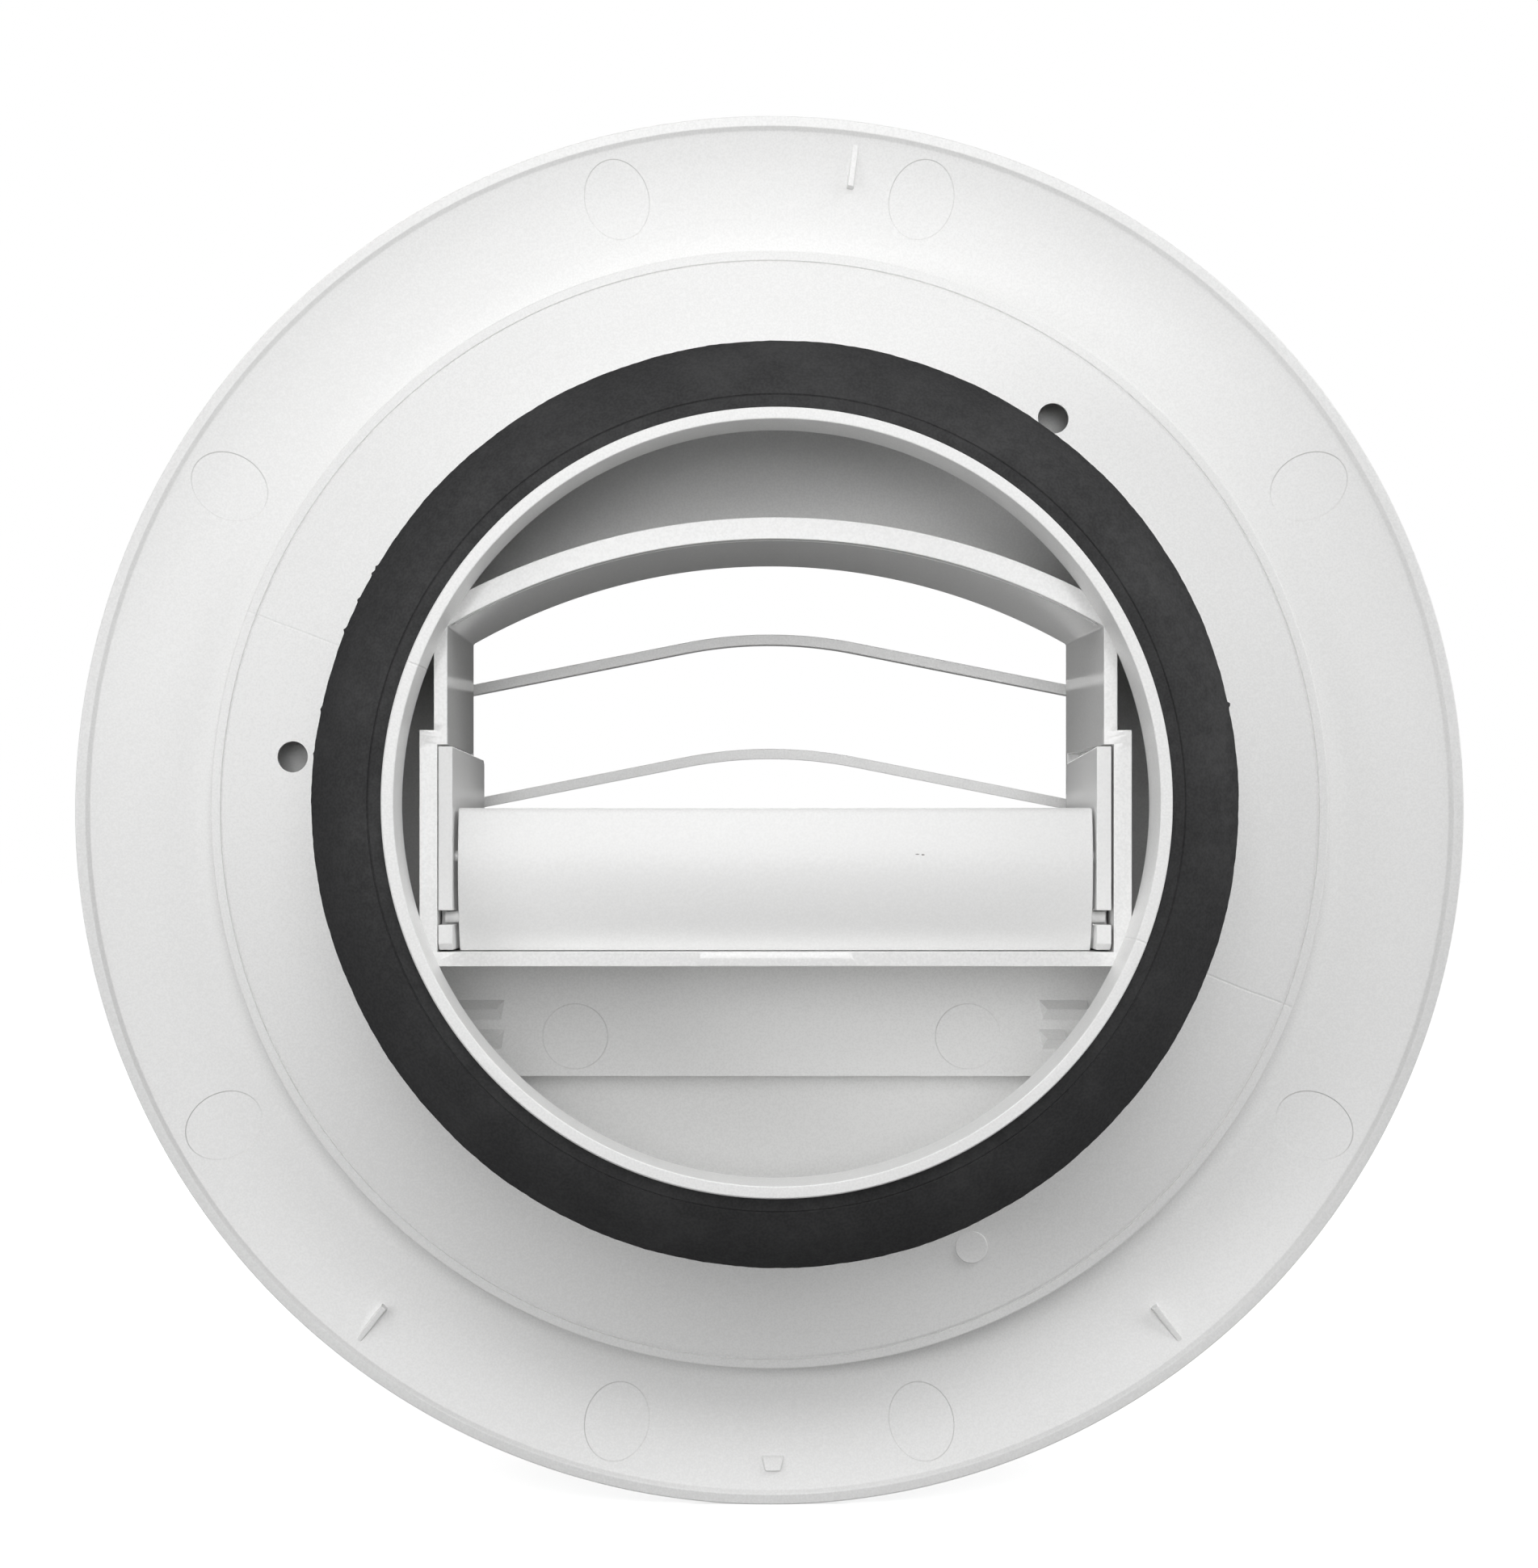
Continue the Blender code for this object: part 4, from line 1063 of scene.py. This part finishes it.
@dataclass
class RegulatorFrame:
    """Two cheeks on a base, with a slot and a stop nub in each."""

    tunnel: Tunnel
    near_x: tuple[float, float] = (35.83 * MM, 35.61 * MM)
    far_x: tuple[float, float] = (34.75 * MM, 35.7 * MM)
    outer_x: tuple[float, float] = (37.42 * MM, 37.24 * MM)
    falls: tuple[float, float] = (0.6 * MM, 1.0 * MM)
    top: float = 6.4 * MM
    foot: float = -16.2 * MM
    far_y: float = 8.8 * MM
    axle_y: float = 29.8 * MM
    axle_z: float = -12.6 * MM
    slot: float = 0.8 * MM

    def cheek(
        self, skin: Skin, side: float, near_x: float, far_x: float, outer_x: float, fall: float
    ) -> None:
        """Adds one cheek: its side outline with the slot, carried across from a leaning face to a flat one.

        The inner face's x falls evenly with depth from near_x to far_x, and the top edge falls by the given
        amount.
        """
        end = self.tunnel.duct_end
        turn = np.radians(np.linspace(90.0, -90.0, 9))
        slot_y, slot_z = self.axle_y - self.slot * np.cos(turn), self.axle_z + self.slot * np.sin(turn)
        line = [
            (self.far_y, self.foot),
            (self.far_y, self.top - fall - 0.5 * MM),
            (self.far_y + 0.6 * MM, self.top - fall),
            (end, self.top),
            (end, self.axle_z + self.slot),
            *zip(slot_y, slot_z),
            (end, self.axle_z - self.slot),
            (end, self.foot + 0.7 * MM),
            (end - 0.7 * MM, self.foot),
        ]
        y, z = np.array(line).T
        inner = near_x + (far_x - near_x) * (end - y) / (end - self.far_y)
        shape = bmesh.new()
        faces = (inner, np.full_like(inner, outer_x))
        near, far = ([shape.verts.new(point) for point in zip(side * x, y, z)] for x in faces)
        shape.faces.new(near)
        shape.faces.new(far[::-1])
        for i in range(len(line)):
            j = (i + 1) % len(line)
            shape.faces.new((near[i], far[i], far[j], near[j]))
        bmesh.ops.recalc_face_normals(shape, faces=shape.faces)
        sharp = [edge for edge in shape.edges if edge.calc_face_angle(0.0) > math.radians(28)]
        bmesh.ops.bevel(shape, geom=sharp, offset=0.13 * MM, segments=3, profile=0.5, affect="EDGES")
        skin.take(shape)

    def build(self) -> bpy.types.Object:
        """Makes the frame as one piece.

        Returns:
            The dressed frame.
        """
        skin = Skin()
        sides = zip((1.0, -1.0), self.near_x, self.far_x, self.outer_x, self.falls)
        for side, near_x, far_x, outer_x, fall in sides:
            self.cheek(skin, side, near_x, far_x, outer_x, fall)
            ends = sorted((side * (near_x - 1.0 * MM), side * (outer_x - 0.5 * MM)))
            rod_along_x(skin, 0.6 * MM, *ends, 29.9 * MM, -5.8 * MM, 0.12 * MM)
        half, near, far = self.tunnel.half_width, self.far_y, self.tunnel.duct_end - 6 * MM
        level = [(-half, near), (half, near), (half, far), (-half, far)]
        corners = [(x, y, z) for z in (self.foot, self.foot + 1.2 * MM) for x, y in level]
        add_block(skin, np.array(corners), 0.15 * MM)
        piece = skin.solid("frame_moulding", sharp=30.0)
        look = Polystyrene("frame polystyrene", dark=(0.87, 0.87, 0.865))
        return finish(piece, [look], Body.GRILLE, Slot.REGULATOR, "regulator_frame")


@dataclass
class RegulatorFlap:
    """The bent flap: a curved blade, a bend, a wing and the axle."""

    face_y: float = 32.0 * MM
    arc_radius: float = 23.0 * MM
    arc_z: float = -6.6 * MM
    bottom: float = -16.38 * MM
    top: float = -0.4 * MM
    wall: float = 1.0 * MM
    bend: float = 0.8 * MM
    wing_y: float = 11.5 * MM
    blade_half: float = 35.3 * MM
    wing_half: float = 34.4 * MM
    step_y: float = 28.0 * MM
    axle_y: float = 29.8 * MM
    axle_z: float = -12.6 * MM

    def path(self) -> np.ndarray:
        """Centre line from the blade's foot to the wing's end: an arc, a tighter arc and a straight line.

        Returns:
            The line as an (n, 3) array.
        """
        centre = np.array([self.face_y - self.arc_radius, self.arc_z])
        bend_z = self.top - self.bend
        reach = self.arc_radius - self.bend
        bend = np.array([centre[0] + math.sqrt(reach**2 - (bend_z - centre[1]) ** 2), bend_z])
        lean = math.asin((bend_z - centre[1]) / reach)
        foot = math.asin((self.bottom - centre[1]) / self.arc_radius)
        blade_turn = np.linspace(foot, lean, 44)
        bend_turn = np.linspace(lean, math.pi / 2, 16)[1:]
        middle = self.wall / 2
        blade, corner = (
            middle_point + radius * np.column_stack([np.cos(turn), np.sin(turn)])
            for middle_point, radius, turn in (
                (centre, self.arc_radius - middle, blade_turn),
                (bend, self.bend - middle, bend_turn),
            )
        )
        step = np.linspace(corner[-1, 0], self.step_y - 0.8 * MM, 9)[1:]
        wing_y = np.concatenate([step, np.linspace(self.step_y - 1.2 * MM, self.wing_y, 14)])
        wing = np.column_stack([wing_y, np.full_like(wing_y, corner[-1, 1])])
        line = np.vstack([blade, corner, wing])
        return np.column_stack([np.zeros(len(line)), line])

    def build(self) -> bpy.types.Object:
        """Makes the flap as one piece.

        Returns:
            The dressed flap.
        """
        path = self.path()
        narrow = np.clip((self.step_y + 0.3 * MM - path[:, 1]) / (0.7 * MM), 0.0, 1.0)
        narrow = np.where(path[:, 2] > self.top - 1.2 * self.wall, narrow**2 * (3 - 2 * narrow), 0.0)
        width = self.blade_half + narrow * (self.wing_half - self.blade_half)
        skin = Skin()
        ribbon(skin, path, np.array([1.0, 0.0, 0.0]), width, self.wall, 0.14 * MM, 4)
        rod_along_x(skin, 0.65 * MM, -36.95 * MM, 36.95 * MM, self.axle_y, self.axle_z, 0.12 * MM)
        piece = skin.solid("flap_moulding")
        look = Polystyrene(
            "flap polystyrene",
            light=(0.89, 0.89, 0.885),
            dark=(0.85, 0.85, 0.845),
            gloss=(0.338, 0.344),
            specks=(
                (-16.35 * MM, -5.62 * MM, 0.28 * MM, 0.1 * MM),
                (-15.75 * MM, -5.58 * MM, 0.3 * MM, 0.07 * MM),
            ),
        )
        return finish(piece, [look], Body.FLAP, Slot.REGULATOR, "regulator_flap")


def finish(
    piece: bpy.types.Object, looks: "Sequence[Polystyrene | Rubber]", body: Body, slot: Slot, node: str
) -> bpy.types.Object:
    """Dresses a piece, lets it stand for its CAD node and rides it on its body.

    Args:
        piece: The object.
        looks: Its finishes, in the order of the faces' material numbers.
        body: The body that it moves with.
        slot: The record's material slot; not used.
        node: The CAD node that it replaces.

    Returns:
        The same object.
    """
    for look in looks:
        piece.data.materials.append(look.make())
    weighted = piece.modifiers.new("even normals", "WEIGHTED_NORMAL")
    weighted.keep_sharp = True
    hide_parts(node)
    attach(piece, body.value)
    LOG.info("%s: %d points, rides on %s", piece.name, len(piece.data.vertices), body.value)
    return piece


# Studio


@dataclass(frozen=True)
class SoftBox:
    """A soft rectangular lamp that faces the object: where it stands, its size in metres and its watts."""

    name: str
    place: tuple[float, float, float]
    size: tuple[float, float]
    power: float

    def hang(self) -> None:
        """Adds the lamp, turned towards the middle of the object."""
        light = bpy.data.lights.new(self.name, "AREA")
        light.shape = "RECTANGLE"
        light.size, light.size_y = self.size
        light.energy = self.power
        obj = bpy.data.objects.new(self.name, light)
        obj.location = self.place
        obj.rotation_euler = (-Vector(self.place)).to_track_quat("-Z", "Y").to_euler()
        bpy.context.scene.collection.objects.link(obj)


@dataclass
class Studio:
    """Camera, lamps, surroundings and floor."""

    picture: tuple[int, int] = (1904, 1941)
    focal_pixels: float = 2870.0
    principal: tuple[float, float] = (900.0, 1056.0)
    camera_at: tuple[float, float, float] = (5.39 * MM, 289.5 * MM, -5.44 * MM)
    floor_z: float = -88.2 * MM
    floor_half: float = 6.0
    glow_reach: tuple[float, float] = (0.12, 0.32)
    glow: tuple[float, float] = (0.62, 1.0)
    ambient: float = 0.03
    lamps: tuple[SoftBox, ...] = (
        SoftBox("front_lamp", (0.0, 0.56, 0.06), (0.25, 0.16), 0.62),
        SoftBox("high_lamp", (0.0, 0.5, 0.25), (0.25, 0.25), 0.72),
        SoftBox("top_lamp", (0.0, 0.12, 0.6), (0.3, 0.3), 0.44),
        SoftBox("right_lamp", (-0.6, 0.12, 0.1), (0.4, 0.36), 0.88),
        SoftBox("left_high_lamp", (0.42, 0.25, 0.4), (0.3, 0.3), 0.83),
        SoftBox("right_high_lamp", (-0.42, 0.25, 0.4), (0.3, 0.3), 1.06),
        SoftBox("left_front_lamp", (0.45, 0.4, 0.02), (0.25, 0.16), 0.70),
        SoftBox("room_lamp", (0.1, -0.6, 0.25), (0.4, 0.3), 1.5),
    )

    def camera(self) -> None:
        """Places the camera level with the axis, with the shift that the photograph's framing needs."""
        long_side = max(self.picture)
        lens = bpy.data.cameras.new("camera")
        lens.sensor_width = 36.0
        lens.lens = self.focal_pixels * lens.sensor_width / long_side
        lens.shift_x = (self.picture[0] / 2 - self.principal[0]) / long_side
        lens.shift_y = (self.principal[1] - self.picture[1] / 2) / long_side
        lens.clip_start = 0.01
        obj = bpy.data.objects.new("camera", lens)
        obj.location = self.camera_at
        obj.rotation_euler = (math.radians(90), 0.0, math.radians(180))
        bpy.context.scene.collection.objects.link(obj)
        bpy.context.scene.camera = obj

    def surroundings(self) -> None:
        """Fills the world with a dim even light; the camera sees white."""
        world = bpy.data.worlds.new("studio")
        world.use_nodes = True
        bpy.context.scene.world = world
        tree = world.node_tree
        tree.nodes.clear()
        path = tree.nodes.new("ShaderNodeLightPath")
        mix = tree.nodes.new("ShaderNodeMixShader")
        out = tree.nodes.new("ShaderNodeOutputWorld")
        tree.links.new(path.outputs["Is Camera Ray"], mix.inputs[0])
        for place, strength in ((1, self.ambient), (2, 1.0)):
            node = tree.nodes.new("ShaderNodeBackground")
            node.inputs["Color"].default_value = (1.0, 1.0, 1.0, 1.0)
            node.inputs["Strength"].default_value = strength
            tree.links.new(node.outputs[0], mix.inputs[place])
        tree.links.new(mix.outputs[0], out.inputs[0])

    def floor(self) -> None:
        """Lays a pale floor that keeps the object's shadow and, away from it, glows to the camera."""
        mesh = bpy.data.meshes.new("floor")
        corners = ((-1, -1), (1, -1), (1, 1), (-1, 1))
        points = [(self.floor_half * x, self.floor_half * y, self.floor_z) for x, y in corners]
        mesh.from_pydata(points, [], [(0, 1, 2, 3)])
        obj = bpy.data.objects.new("floor", mesh)
        bpy.context.scene.collection.objects.link(obj)
        book = Nodes("floor paper")
        shader = book.shader
        shader.inputs["Roughness"].default_value = 0.9
        shader.inputs["Specular IOR Level"].default_value = 0.0
        shader.inputs["Emission Color"].default_value = (1.0, 1.0, 1.0, 1.0)
        seen = book.add("ShaderNodeLightPath").outputs["Is Camera Ray"]
        book.join(book.blend(seen, (0.3, 0.3, 0.3), (0.9, 0.9, 0.9)), shader.inputs["Base Color"])
        away = book.vector("LENGTH", book.place).outputs["Value"]
        glow = book.math("MULTIPLY", seen, book.spread(away, *self.glow_reach, self.glow))
        book.join(glow, shader.inputs["Emission Strength"])
        mesh.materials.append(book.material)

    def build(self) -> None:
        """Sets up the studio."""
        self.camera()
        for lamp in self.lamps:
            lamp.hang()
        self.surroundings()
        self.floor()
        bpy.context.scene.view_settings.view_transform = "Standard"


def main() -> None:
    """Builds the studio and the five pieces in order."""
    logging.basicConfig(level=logging.INFO, format="%(name)s: %(message)s")
    Studio().build()
    tunnel = Tunnel()
    makers: list[Callable[[], bpy.types.Object]] = [
        SpigotBody(tunnel).build,
        LipSeal().build,
        Cover(tunnel).build,
        RegulatorFrame(tunnel).build,
        RegulatorFlap().build,
    ]
    for make in makers:
        make()


if __name__ == "__main__":
    main()
